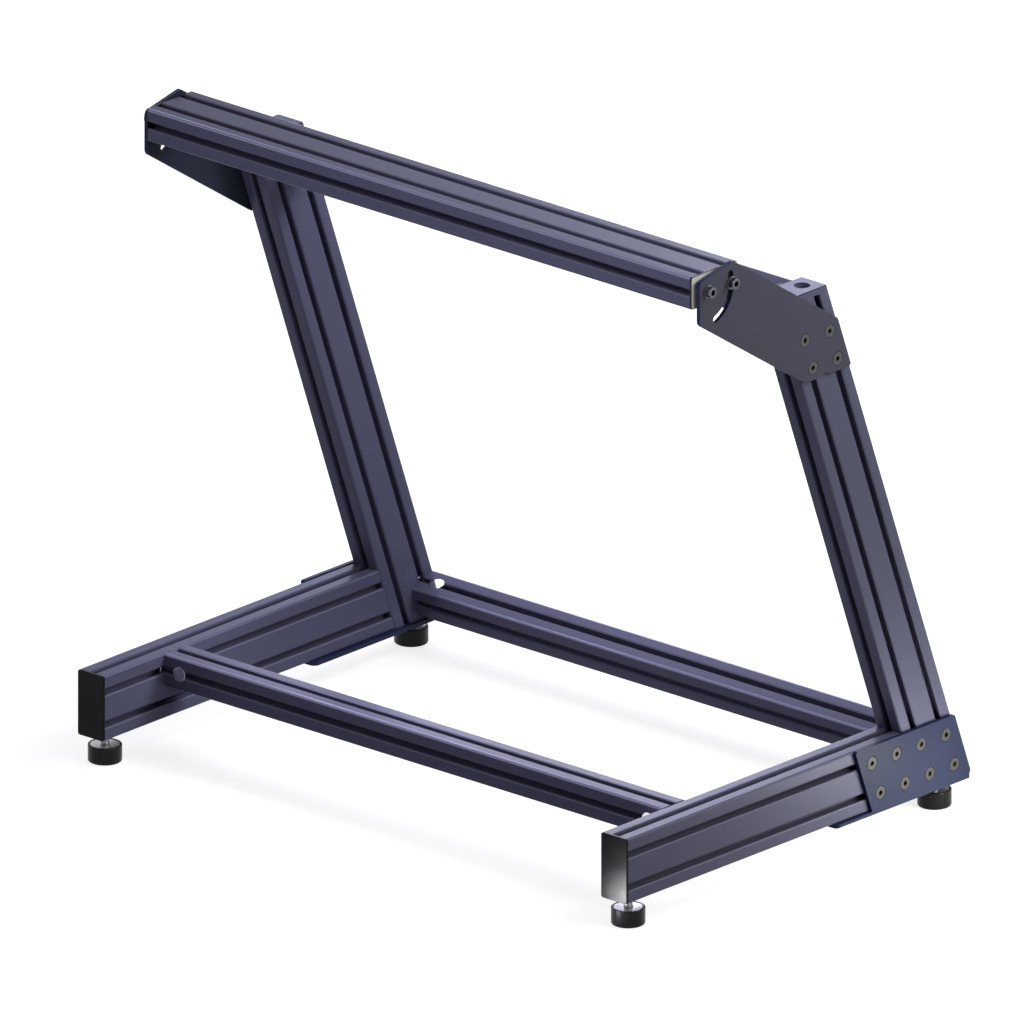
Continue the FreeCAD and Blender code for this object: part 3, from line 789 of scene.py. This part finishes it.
def top_caps():
    """Level block on the uprights' lean, with rounded top edges and two round holes. Its top keeps the
    first material, a lighter copy of the anodising painted as light from above, its edges and underside
    take the second, black painted shade, and its standing walls the third."""
    height = CAP_TOP - UPRIGHT_TOP
    place = at(RAIL_X, upright_y(0, CAP_TOP), UPRIGHT_TOP)

    def level_outline(inset, z):
        outline = rounded_rectangle(CELL - 2 * inset, 2 * (CELL - inset), PROFILE_CORNER_R - inset)
        back = (height - z) * math.tan(TILT)
        return [Vector((p.x, p.y / math.cos(TILT) + back)) for p in outline]

    rings = [(level_outline(0, 0.0), 0.0)]
    for inset, drop in rim(CAP_RIM_R, 3):
        rings.append((level_outline(inset, height - drop), height - drop))
    cap = rings_solid("top cap", rings, place)
    radius = TOP_HOLE_D / 2
    sides = [(radius, -OVERCUT), (radius, height - CAP_RIM_R), (radius + 2 * CAP_RIM_R, height + CAP_RIM_R)]
    drills = []
    for across in (-CELL / 2, CELL / 2):
        drills.append(turned("drill", sides, at(RAIL_X, upright_y(across, CAP_TOP), UPRIGHT_TOP)))
    skin = 0.05 * MM
    edge_z = height - CAP_RIM_R - skin
    steep = 0.5
    cap = faces_with(cut(cap, drills), 1, lambda face: face.center.z < height - skin)
    cap = faces_with(cap, 2, lambda face: face.center.z < edge_z and abs(face.normal.z) < steep)
    # Painted light on the top, black painted shade on the edges and underside.
    show_pair(cap, "top_cap", (PAINTED_LIGHT_CAP_TOP, PAINTED_HOLLOW_SHADE, ANODISED))


# Cross beams and the barrel fasteners in their ends
def slot_nut(place):
    """Nut in a slot that opens to +Z at Z = 0, its long side in X, with chamfered back edges."""
    top = -SLOT_LIP
    bottom = top - NUT_THICKNESS

    def outline(inset):
        return rounded_rectangle(NUT_LENGTH - 2 * inset, NUT_WIDTH - 2 * inset, NUT_CORNER_R, steps=3)

    rings = [
        (outline(NUT_CHAMFER), bottom),
        (outline(0), bottom + NUT_CHAMFER),
        (outline(0), top - NUT_EDGE),
        (outline(NUT_EDGE), top),
    ]
    return rings_solid("nut", rings, place)


def beam_fastener(place):
    """Barrel, bolt and slot nut at the right-hand end of a beam whose slotted face is at local
    Z = CELL / 2. The bolt takes the second material and the nut the third."""
    top = CELL / 2
    radius = BARREL_D / 2
    chamfer = BARREL_CHAMFER
    sides = [
        (radius - chamfer, top - BARREL_DEPTH),
        (radius, top - BARREL_DEPTH + chamfer),
        (radius, top - chamfer),
        (radius - chamfer / 3, top - chamfer / 4),
        (radius - chamfer, top),
    ]
    barrel = turned("barrel", sides, place @ at(BARREL_X, 0, 0))
    bolt_z = top - BARREL_BOLT_DEPTH
    length = INNER_HALF - BARREL_X + SLOT_LIP + NUT_THICKNESS
    bolt_sides = [(BARREL_BOLT_D / 2, 0.0), (BARREL_BOLT_D / 2, length)]
    bolt = turned("bolt", bolt_sides, place @ at(BARREL_X, 0, bolt_z, (90, "Y")), steps=32)
    nut = slot_nut(place @ at(INNER_HALF, 0, bolt_z, (-90, "Y")))
    faces_with(bolt, 1, lambda face: True)
    faces_with(nut, 2, lambda face: True)
    return joined("fastener", [barrel, bolt, nut])


def barrel_seat(place, x):
    """Cutter for a barrel's seat, flared at the slotted face."""
    radius = BARREL_D / 2 + BARREL_GAP
    mouth = CELL / 2 - SEAT_FLARE / 2
    sides = [(radius, CELL / 2 - BARREL_DEPTH), (radius, mouth), (radius + SEAT_FLARE, mouth + SEAT_FLARE)]
    return turned("seat", sides, place @ at(x, 0, 0))


def cross_beams():
    """Front beam level with the rails, rear and upper beams turned with the uprights."""
    places = {"front": at(0, front_beam_low.y + CELL / 2, front_beam_high.z - CELL / 2, (90, "X"))}
    for name in ("rear", "upper"):
        low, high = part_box(name + "_cross_beam")
        middle = (low.z + high.z) / 2
        places[name] = at(0, upright_y(CELL / 2, middle), middle, (math.degrees(TILT), "X"))
    for name, place in places.items():
        beam = profile("beam", 1, place @ at(0, 0, 0, (90, "Y")), *level_ends(INNER_HALF))
        seats = [barrel_seat(place, x) for x in (-BARREL_X, BARREL_X)]
        # Top edges and up-facing slot lips get lighter painted highlights.
        beam = painted_highlight_edge(painted_highlight_lips(cut(beam, seats), 2))
        show(beam, name + "_cross_beam", (ANODISED, PAINTED_HIGHLIGHT_EDGE, PAINTED_HIGHLIGHT_LIP))
        materials = (DARK_SCREW if name == "upper" else POLISHED, ANODISED, BRIGHT_STEEL)
        show_pair(beam_fastener(place), name + "_beam_fastener", materials)


# Screws of the brackets
def worn_edge(diameter, edge, steps):
    """Rings of a screw head's edge up to its face at Z = 0."""
    return [(circle(diameter - narrower, steps), -lower) for narrower, lower in edge]


def socket_rings(width, depth, mouth, chamfer, tip, steps):
    """Rings of a hexagon socket, from its chamfered mouth at Z = 0 down to its drilled tip."""
    return [
        (hexagon(width, steps, scale=mouth), 0.0),
        (hexagon(width, steps), -chamfer),
        (hexagon(width, steps), -depth),
        (hexagon(width, steps, scale=0.3), -depth - tip),
    ]


def countersunk_screw(y, z, slot_angle):
    """Screw with its nut; the slot runs at slot_angle above the level. Local Z 0 is the plate's face."""
    place = side_at(PLATE_FACE_X, y, z)
    steps = 48
    rings = [
        (circle(SCREW_D, steps), -PLATE - SLOT_LIP - NUT_THICKNESS),
        (circle(SCREW_D, steps), (SCREW_D - SCREW_HEAD_D) / 2 - SCREW_CONE_DROP),
    ]
    rings += worn_edge(SCREW_HEAD_D, SCREW_HEAD_EDGE, steps)
    rings += socket_rings(SCREW_SOCKET, SCREW_SOCKET_DEPTH, mouth=1.12, chamfer=0.3 * MM,
                          tip=0.7 * MM, steps=steps)
    # The socket's inside gets black painted shade.
    screw = socket_painted_shade(rings_solid("screw", rings, place), SCREW_SOCKET)
    nut = slot_nut(place @ at(0, 0, -PLATE, (slot_angle, "Z")))
    return joined("screw", [screw, nut])


def countersink(y, z):
    """Cutter for a sunk screw's seat in a plate on the rail or upright."""
    wide = COUNTERSINK_D / 2
    narrow = SCREW_D / 2 + SCREW_GAP
    sides = [(narrow, -PLATE - OVERCUT), (narrow, narrow - wide), (wide, 0.0), (wide, OVERCUT)]
    return turned("countersink", sides, side_at(PLATE_FACE_X, y, z), steps=48)


def screw_places(heights, offsets):
    """(y, z) of the screws at these heights and offsets across the uprights."""
    return [(upright_y(across, z), z) for z in heights for across in offsets]


# Lower brackets: a bent strip, cut to its outlines from the side and from above
def bent_strip():
    """The bracket's section, flange and plate, along its whole length."""
    bend = [
        (flange_low.x, flange_low.z, 0),
        (PLATE_FACE_X, flange_low.z, BEND_R),
        (PLATE_FACE_X, plate_high.z, 0),
        (HALF_WIDTH, plate_high.z, 0),
        (HALF_WIDTH, RAIL_BOTTOM, 0),
        (flange_low.x, RAIL_BOTTOM, 0),
    ]
    behind = LOWER_REAR + CELL
    return block("strip", rounded(bend, 8), behind - LOWER_FRONT, at(0, behind, 0, (90, "X")))


def side_block():
    """The plate on rail and upright and the flange under them, joined at the back by a rounded corner."""
    top = plate_high.z
    below = flange_low.z - OVERCUT
    corner_y = LOWER_REAR - REAR_CORNER_R / math.tan(math.radians(45) - TILT / 2)
    turn = -math.acos((FLANGE_REAR - corner_y) / REAR_CORNER_R)
    corner = arc((corner_y, RAIL_BOTTOM + REAR_CORNER_R), REAR_CORNER_R, turn, TILT, steps=8)
    side = [(LOWER_FRONT - OVERCUT, below, 0), (FLANGE_REAR, below, 0)]
    side += [(y, z, 0) for y, z in corner]
    side += [
        (upright_y(CELL + PLATE_OVERHANG, top), top, TOP_CORNER_R),
        (upright_y(-3 * CELL, top), top, TOP_CORNER_R),
        (upright_y(-3 * CELL, RAIL_BOTTOM), RAIL_BOTTOM, INNER_CORNER_R),
        (LOWER_FRONT - OVERCUT, RAIL_BOTTOM, 0),
    ]
    return block("side", rounded(side, 8), 3 * CELL, side_at(flange_low.x - CELL, 0, 0))


def plan_block():
    """The flange's outline from above, with rounded front corners."""
    plan = [
        (flange_low.x, LOWER_FRONT, FLANGE_CORNER_R),
        (PLATE_FACE_X, LOWER_FRONT, FLANGE_CORNER_R),
        (PLATE_FACE_X, LOWER_REAR + CELL, 0),
        (flange_low.x, LOWER_REAR + CELL, 0),
    ]
    return block("plan", rounded(plan, 10), 4 * CELL)


def lower_bracket():
    bracket = cut(bent_strip(), [side_block()], "INTERSECT")
    bracket = cut(bracket, [plan_block()], "INTERSECT")
    merge_flat_faces(bracket)
    bevel = bracket.modifiers.new("Edge", "BEVEL")
    bevel.width = PLATE_EDGE
    bevel.segments = 3
    bevel.limit_method = "ANGLE"
    bevel.angle_limit = math.radians(40)
    bake(bracket)
    places = screw_places(LOWER_SCREW_HEIGHTS, RAIL_SCREWS_ACROSS + UPRIGHT_SCREWS_ACROSS)
    return cut(bracket, [countersink(y, z) for y, z in places])


def lower_brackets():
    # A darker copy of the blue paint on the edges and seats: painted shade.
    materials = (BLUE_PAINT, PAINTED_SHADE_EDGE, BLUE_PAINT)
    show_pair(painted_shade_edges(lower_bracket()), "lower_bracket", materials)
    screws = [countersunk_screw(y, z, 0) for y, z in screw_places(LOWER_SCREW_HEIGHTS, RAIL_SCREWS_ACROSS)]
    for y, z in screw_places(LOWER_SCREW_HEIGHTS, UPRIGHT_SCREWS_ACROSS):
        screws.append(countersunk_screw(y, z, UPRIGHT_SLOT_ANGLE))
    show_pair(joined("screws", screws), "lower_bracket_screws", (DULL_SCREW, PAINTED_HOLLOW_SHADE))


# Upper brackets
def upper_outline():
    """Corners (y, z, radius) of the plate: an arm from the pivot back to the upright, whose two long
    edges are parallel, with a notch in its foot."""
    nose_y = PIVOT_Y - 14.5 * MM
    nose_z = BAR_Z + 13.6 * MM
    chin_z = BAR_Z - 38.4 * MM
    foot_y = upright_y(-CELL, BRACKET_BOTTOM) + 2.2 * MM
    fall = (chin_z - BRACKET_BOTTOM) / (foot_y - nose_y)
    apex_y = LOCK_Y + 3.3 * MM
    apex_z = BAR_Z + 25.6 * MM
    rear = CELL - 2.5 * MM
    climb = 1 / math.tan(TILT)
    rear_base = upright_y(rear, RAIL_BOTTOM)
    rear_top_y = (RAIL_BOTTOM + climb * rear_base - apex_z - fall * apex_y) / (climb - fall)
    notch_y = upright_y(0, FIRST_UPPER_SCREW)
    notch_half = 8 * MM
    notch_height = 4.5 * MM
    return [
        (nose_y, chin_z, 9 * MM),
        (foot_y, BRACKET_BOTTOM, 12 * MM),
        (notch_y - notch_half, BRACKET_BOTTOM, 6 * MM),
        (notch_y, BRACKET_BOTTOM + notch_height, 3 * MM),
        (notch_y + notch_half, BRACKET_BOTTOM, 6 * MM),
        (upright_y(rear, BRACKET_BOTTOM), BRACKET_BOTTOM, 3.5 * MM),
        (rear_top_y, apex_z - fall * (rear_top_y - apex_y), 6 * MM),
        (apex_y, apex_z, 4 * MM),
        (nose_y, nose_z, 6 * MM),
    ]


def arc_slot():
    """Outline of the slot that the lock screw rides in, concentric with the pivot."""
    pivot = (PIVOT_Y, BAR_Z)
    radius = LOCK_Y - PIVOT_Y
    half_width = SCREW_D / 2 + ARC_SLOT_GAP
    low = ARC_SLOT_LOW
    high = ARC_SLOT_HIGH
    low_end, high_end = arc(pivot, radius, low, high, steps=1)
    outline = arc(pivot, radius + half_width, low, high, steps=32)
    outline += arc(high_end, half_width, high, high + math.pi, steps=9)[1:-1]
    outline += arc(pivot, radius - half_width, high, low, steps=32)
    outline += arc(low_end, half_width, low + math.pi, low + 2 * math.pi, steps=9)[1:-1]
    return [Vector(point) for point in outline]


def upper_brackets():
    holes = [arc_slot(), circle(SCREW_D + PIVOT_GAP, steps=32, centre=(PIVOT_Y, BAR_Z))]
    places = screw_places(UPPER_SCREW_HEIGHTS, UPRIGHT_SCREWS_ACROSS)
    outline = rounded(upper_outline(), 8)
    bracket = plate("bracket", outline, holes, places, PLATE, side_at(HALF_WIDTH, 0, 0))
    # Darker copies of the paint on the edges, seats and inner face: painted shade.
    materials = (DARK_PAINT, PAINTED_SHADE_EDGE, PAINTED_SHADE_INSIDE)
    show_pair(painted_shade_edges(bracket), "upper_bracket", materials)
    screws = [countersunk_screw(y, z, UPRIGHT_SLOT_ANGLE) for y, z in places]
    show_pair(joined("screws", screws), "upper_bracket_screws", (GREY_SCREW, PAINTED_HOLLOW_SHADE))


# Tilting bar, its caps and the screws it turns on and is locked by
def knurled(diameter, steps):
    """Circle whose every second point lies further in by the knurl's depth."""
    depth = KNURL_DEPTH / (diameter / 2)
    return [p * (1 - (depth if i % 2 else 0)) for i, p in enumerate(circle(diameter, steps))]


def cap_screw(y):
    """Cap screw with its washer on the plate, a knurled side and a hexagon socket."""
    place = side_at(pivot_high.x, y, BAR_Z)
    steps = 96
    grip = pivot_high.x - pivot_low.x
    foot = 0.3 * MM
    knurl_top = -0.75 * MM
    washer_top = WASHER_THICKNESS - CAP_HEAD_HEIGHT
    rings = [
        (circle(SCREW_D, steps), -grip),
        (circle(SCREW_D, steps), -CAP_HEAD_HEIGHT),
        (circle(WASHER_D - 2 * WASHER_EDGE, steps), -CAP_HEAD_HEIGHT),
        (circle(WASHER_D, steps), -CAP_HEAD_HEIGHT + WASHER_EDGE),
        (circle(WASHER_D, steps), washer_top - WASHER_EDGE),
        (circle(WASHER_D - 2 * WASHER_EDGE, steps), washer_top),
        (circle(CAP_HEAD_D - 2 * foot, steps), washer_top),
        (knurled(CAP_HEAD_D, steps), washer_top + foot),
        (knurled(CAP_HEAD_D, steps), knurl_top),
    ]
    rings += worn_edge(CAP_HEAD_D, CAP_HEAD_EDGE, steps)
    rings += socket_rings(CAP_SOCKET, CAP_SOCKET_DEPTH, mouth=1.14, chamfer=0.4 * MM,
                          tip=0.8 * MM, steps=steps)
    # The socket's inside gets black painted shade.
    return socket_painted_shade(rings_solid("cap screw", rings, place), CAP_SOCKET)


def tilting_bar():
    """The bar, its two caps, whose outer faces carry a pale painted reflection, and its screws, all on the
    tilting body.
    """
    place = at(0, BAR_Y, BAR_Z, (90, "Y"))
    # Top edges and up-facing slot lips get lighter painted highlights.
    bar = painted_highlight_edge(painted_highlight_lips(profile("bar", 2, place, *level_ends(BAR_HALF)), 2))
    show(bar, "tilting_bar", (ANODISED, PAINTED_HIGHLIGHT_EDGE, PAINTED_HIGHLIGHT_LIP), "tilting_bar")
    cap_low, cap_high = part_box("right_bar_end_cap")
    cap_place = at(BAR_HALF, BAR_Y, BAR_Z, (90, "Y"))
    cap = end_cap("bar cap", cap_place, cap_high.x - cap_low.x)
    outward = 0.95
    # The caps' outer faces get a pale painted reflection.
    cap = faces_with(cap, 1, lambda face: face.normal.z > outward)
    show_pair(cap, "bar_end_cap", (BLACK_CAP, PAINTED_REFLECTION_FACE), "tilting_bar")
    for name, y in (("pivot_screw", PIVOT_Y), ("lock_screw", LOCK_Y)):
        materials = (DARK_SCREW, PAINTED_HOLLOW_SHADE)
        show_pair(cap_screw(y), name, materials, "tilting_bar", KNURL_ANGLE)


# Levelling feet
def pad_sides(radius, height, recess_floor):
    """(radius, height) points of a pad with rounded base and rim and a recess for the stud's disc."""
    sides = [(radius - inset, drop) for inset, drop in reversed(rim(PAD_BASE_R, 6))]
    sides += [(radius - inset, height - drop) for inset, drop in rim(PAD_RIM_R, 5)]
    sides += [(PAD_RECESS_R + PAD_RECESS_WEAR, height), (PAD_RECESS_R, height - 2 * PAD_RECESS_WEAR)]
    return sides + [(PAD_RECESS_R, recess_floor), (0.0, recess_floor)]


def stud_sides(bottom):
    """(radius, height) points of a stud's disc and its collar up to the rail."""
    disc_top = bottom + DISC_HEIGHT
    return [
        (0.0, bottom),
        (DISC_R, bottom),
        (DISC_R, disc_top - DISC_CHAMFER),
        (DISC_R - DISC_CHAMFER, disc_top),
        (COLLAR_R + 2 * DISC_CHAMFER, disc_top),
        (COLLAR_R, disc_top + 2 * DISC_CHAMFER),
        (COLLAR_R, RAIL_BOTTOM),
    ]


def feet():
    """Four feet; the front studs go on into the rails, each to a slot nut."""
    for end in ("front", "rear"):
        pad_low, pad_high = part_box("right_" + end + "_foot_pad")
        stud_low, stud_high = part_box("right_" + end + "_foot_stud")
        y = (pad_low.y + pad_high.y) / 2
        place = at(RAIL_X, y, 0)
        sides = pad_sides((pad_high.x - pad_low.x) / 2, pad_high.z, stud_low.z)
        pad = turned("pad", sides, place, steps=96)
        show_pair(pad, end + "_foot_pad", (RUBBER,), angle=FOOT_ANGLE)
        sides = stud_sides(stud_low.z)
        if end == "front":
            sides += [(SCREW_D / 2, RAIL_BOTTOM), (SCREW_D / 2, stud_high.z)]
        stud = turned("stud", sides, place)
        if end == "front":
            nut_place = at(RAIL_X, y, RAIL_BOTTOM, (180, "Y"), (90, "Z"))
            stud = joined("stud", [stud, slot_nut(nut_place)])
        show_pair(stud, end + "_foot_stud", (BRIGHT_STEEL,), angle=FOOT_ANGLE)


base_rails()
uprights()
top_caps()
cross_beams()
lower_brackets()
upper_brackets()
tilting_bar()
feet()


# Floor and backdrop: plain white for the camera, in reflections and through clear things
FLOOR_SIZE = 14.0
FLOOR_NEAR = 0.55
FLOOR_FAR = 1.1
FLOOR_GLOW = 0.78
FLOOR_SHADE = 0.45
FLOOR_BOUNCE = 0.35
WORLD_STRENGTH = 0.03


def seen_rays(nodes, links):
    """1 on rays that show a picture, from the camera, a gloss or a clear thing, and 0 on soft light."""
    path = nodes.new("ShaderNodeLightPath")
    seen = path.outputs["Is Camera Ray"]
    for name in ("Is Glossy Ray", "Is Transmission Ray"):
        either = nodes.new("ShaderNodeMath")
        either.operation = "MAXIMUM"
        links.new(seen, either.inputs[0])
        links.new(path.outputs[name], either.inputs[1])
        seen = either.outputs["Value"]
    return seen


def between(nodes, links, factor, low, high):
    """The number low where the factor is 0 and high, a number or a node's output, where it is 1."""
    spread = nodes.new("ShaderNodeMapRange")
    spread.inputs["To Min"].default_value = low
    for name, value in (("Value", factor), ("To Max", high)):
        if isinstance(value, float):
            spread.inputs[name].default_value = value
        else:
            links.new(value, spread.inputs[name])
    return spread.outputs["Result"]


def far_floor(nodes, links):
    """0 on the floor round the stand, 1 farther away."""
    coordinates = nodes.new("ShaderNodeTexCoord")
    distance = nodes.new("ShaderNodeVectorMath")
    distance.operation = "LENGTH"
    links.new(coordinates.outputs["Object"], distance.inputs["Vector"])
    return ranged(nodes, links, distance.outputs["Value"], 0.0, 1.0, FLOOR_NEAR, FLOOR_FAR)


def white_backdrop():
    """World that is white where it is seen and gives hardly any light."""
    world = bpy.data.worlds.new("White room")
    world.use_nodes = True
    nodes = world.node_tree.nodes
    links = world.node_tree.links
    seen = seen_rays(nodes, links)
    background = nodes["Background"]
    background.inputs["Color"].default_value = (1, 1, 1, 1)
    links.new(between(nodes, links, seen, WORLD_STRENGTH, 1.0), background.inputs["Strength"])
    bpy.context.scene.world = world


def white_floor():
    """Floor that is white where it is seen and still keeps the stand's soft shadow."""
    material, nodes, links, shader = new_material("White floor")
    seen = seen_rays(nodes, links)
    shader.inputs["Roughness"].default_value = 1.0
    shader.inputs["Specular IOR Level"].default_value = 0.0
    shader.inputs["Emission Color"].default_value = (1, 1, 1, 1)
    glow = between(nodes, links, far_floor(nodes, links), FLOOR_GLOW, 1.0)
    links.new(between(nodes, links, seen, FLOOR_BOUNCE, FLOOR_SHADE), shader.inputs["Base Color"])
    links.new(between(nodes, links, seen, 0.0, glow), shader.inputs["Emission Strength"])
    shape = bmesh.new()
    bmesh.ops.create_grid(shape, x_segments=4, y_segments=4, size=FLOOR_SIZE / 2)
    floor = object_from(shape, "floor", at(0, 0, 0))
    floor.data.materials.append(material)


white_backdrop()
white_floor()


# Camera: the photograph's parallel view
VIEW_AZIMUTH = math.radians(41.887)
VIEW_ELEVATION = math.radians(20.30)
VIEW_WIDTH = 1.1801
VIEW_TARGET = Vector((0.04766, -0.07171, 0.36241))
VIEW_DISTANCE = 3.0


def aimed(name, data, place, direction):
    """Object of a camera or lamp at a place, looking in a direction."""
    piece = bpy.data.objects.new(name, data)
    piece.location = place
    piece.rotation_mode = "QUATERNION"
    piece.rotation_quaternion = direction.to_track_quat("-Z", "Y")
    bpy.context.scene.collection.objects.link(piece)
    return piece


def camera():
    back = Vector((
        math.sin(VIEW_AZIMUTH) * math.cos(VIEW_ELEVATION),
        -math.cos(VIEW_AZIMUTH) * math.cos(VIEW_ELEVATION),
        math.sin(VIEW_ELEVATION),
    ))
    data = bpy.data.cameras.new("Camera")
    data.type = "ORTHO"
    data.ortho_scale = VIEW_WIDTH
    bpy.context.scene.camera = aimed("Camera", data, VIEW_TARGET + back * VIEW_DISTANCE, -back)


# Lamps: name, place, the point aimed at, size, watts, colour and degrees of spread
WHITE = (1, 1, 1)
WARM = (1, 1, 0.76)
COOL = (0.84, 0.84, 1)
LIGHTS = (
    ("Behind left", (-1.6, 1.9, 0.8), (-0.03, 0.15, -0.07), (0.6, 0.6), 7.6, COOL),
    ("Behind left, high", (-1.55, 0.8, 1.85), (0, 0, 0.1), (0.5, 0.5), 5.0, COOL),
    ("Behind the bar", (-0.7, 1.3, 1.45), (0.3, -0.14, 0.77), (0.4, 0.4), 3.2, COOL),
    ("Behind the rails", (-0.9, 1.3, 0.85), (0.4, -0.1, 0.1), (0.4, 0.4), 2.3, COOL),
    ("Over the rear beam", (-0.5, 0.55, 0.68), (0, 0.26, 0.08), (0.8, 0.15), 2.3, COOL),
    ("Behind right, high", (1.1, 0.9, 1.5), (0.2, 0, 0.4), (0.6, 0.6), 8.5, COOL),
    ("Right", (2.2, 0.2, 1.2), (0.4, 0, 0.4), (0.9, 0.9), 17.0, WARM),
    ("By the right upright", (0.75, 0.25, 0.95), (0.425, 0, 0.66), (0.2, 0.2), 0.9, WARM),
    ("By the rear right foot", (0.62, 0.24, 0.04), (0.425, 0.06, 0.07), (0.15, 0.08), 0.95, WARM),
    ("Between the uprights", (0.1, 0.35, 1.0), (-0.39, 0, 0.62), (0.3, 0.3), 2.1),
    ("Over the front beam", (-0.12, -0.12, 0.24), (-0.12, -0.175, 0.1), (0.4, 0.05), 0.36),
    ("Over the front", (0.2, -1.1, 1.5), (0.1, 0, 0.6), (0.7, 0.5), 2.0),
    ("Over the bar's right end", (0.5, -0.6, 1.3), (0.3, -0.15, 0.75), (0.3, 0.3), 1.8),
    ("Front left", (-1.5, -1.7, 0.9), (0, 0, 0.5), (1.0, 1.0), 3.0),
    ("Under the bar", (-0.1, -0.75, 0.45), (0, -0.2, 1.1), (0.6, 0.2), 1.2),
    ("By the front right foot", (0.38, -0.367, 0.012), (0.43, -0.3, 0.05), (0.05, 0.03), 0.12, WHITE, 70),
)


def soft_light(name, place, target, size, watts, colour=WHITE, spread=180):
    data = bpy.data.lights.new(name, "AREA")
    data.spread = math.radians(spread)
    data.shape = "RECTANGLE"
    data.size = size[0]
    data.size_y = size[1]
    data.energy = watts
    data.color = colour
    lamp = aimed(name, data, place, Vector(target) - Vector(place))
    lamp.visible_camera = False


camera()
for light in LIGHTS:
    soft_light(*light)

bpy.context.scene.view_settings.view_transform = "Standard"
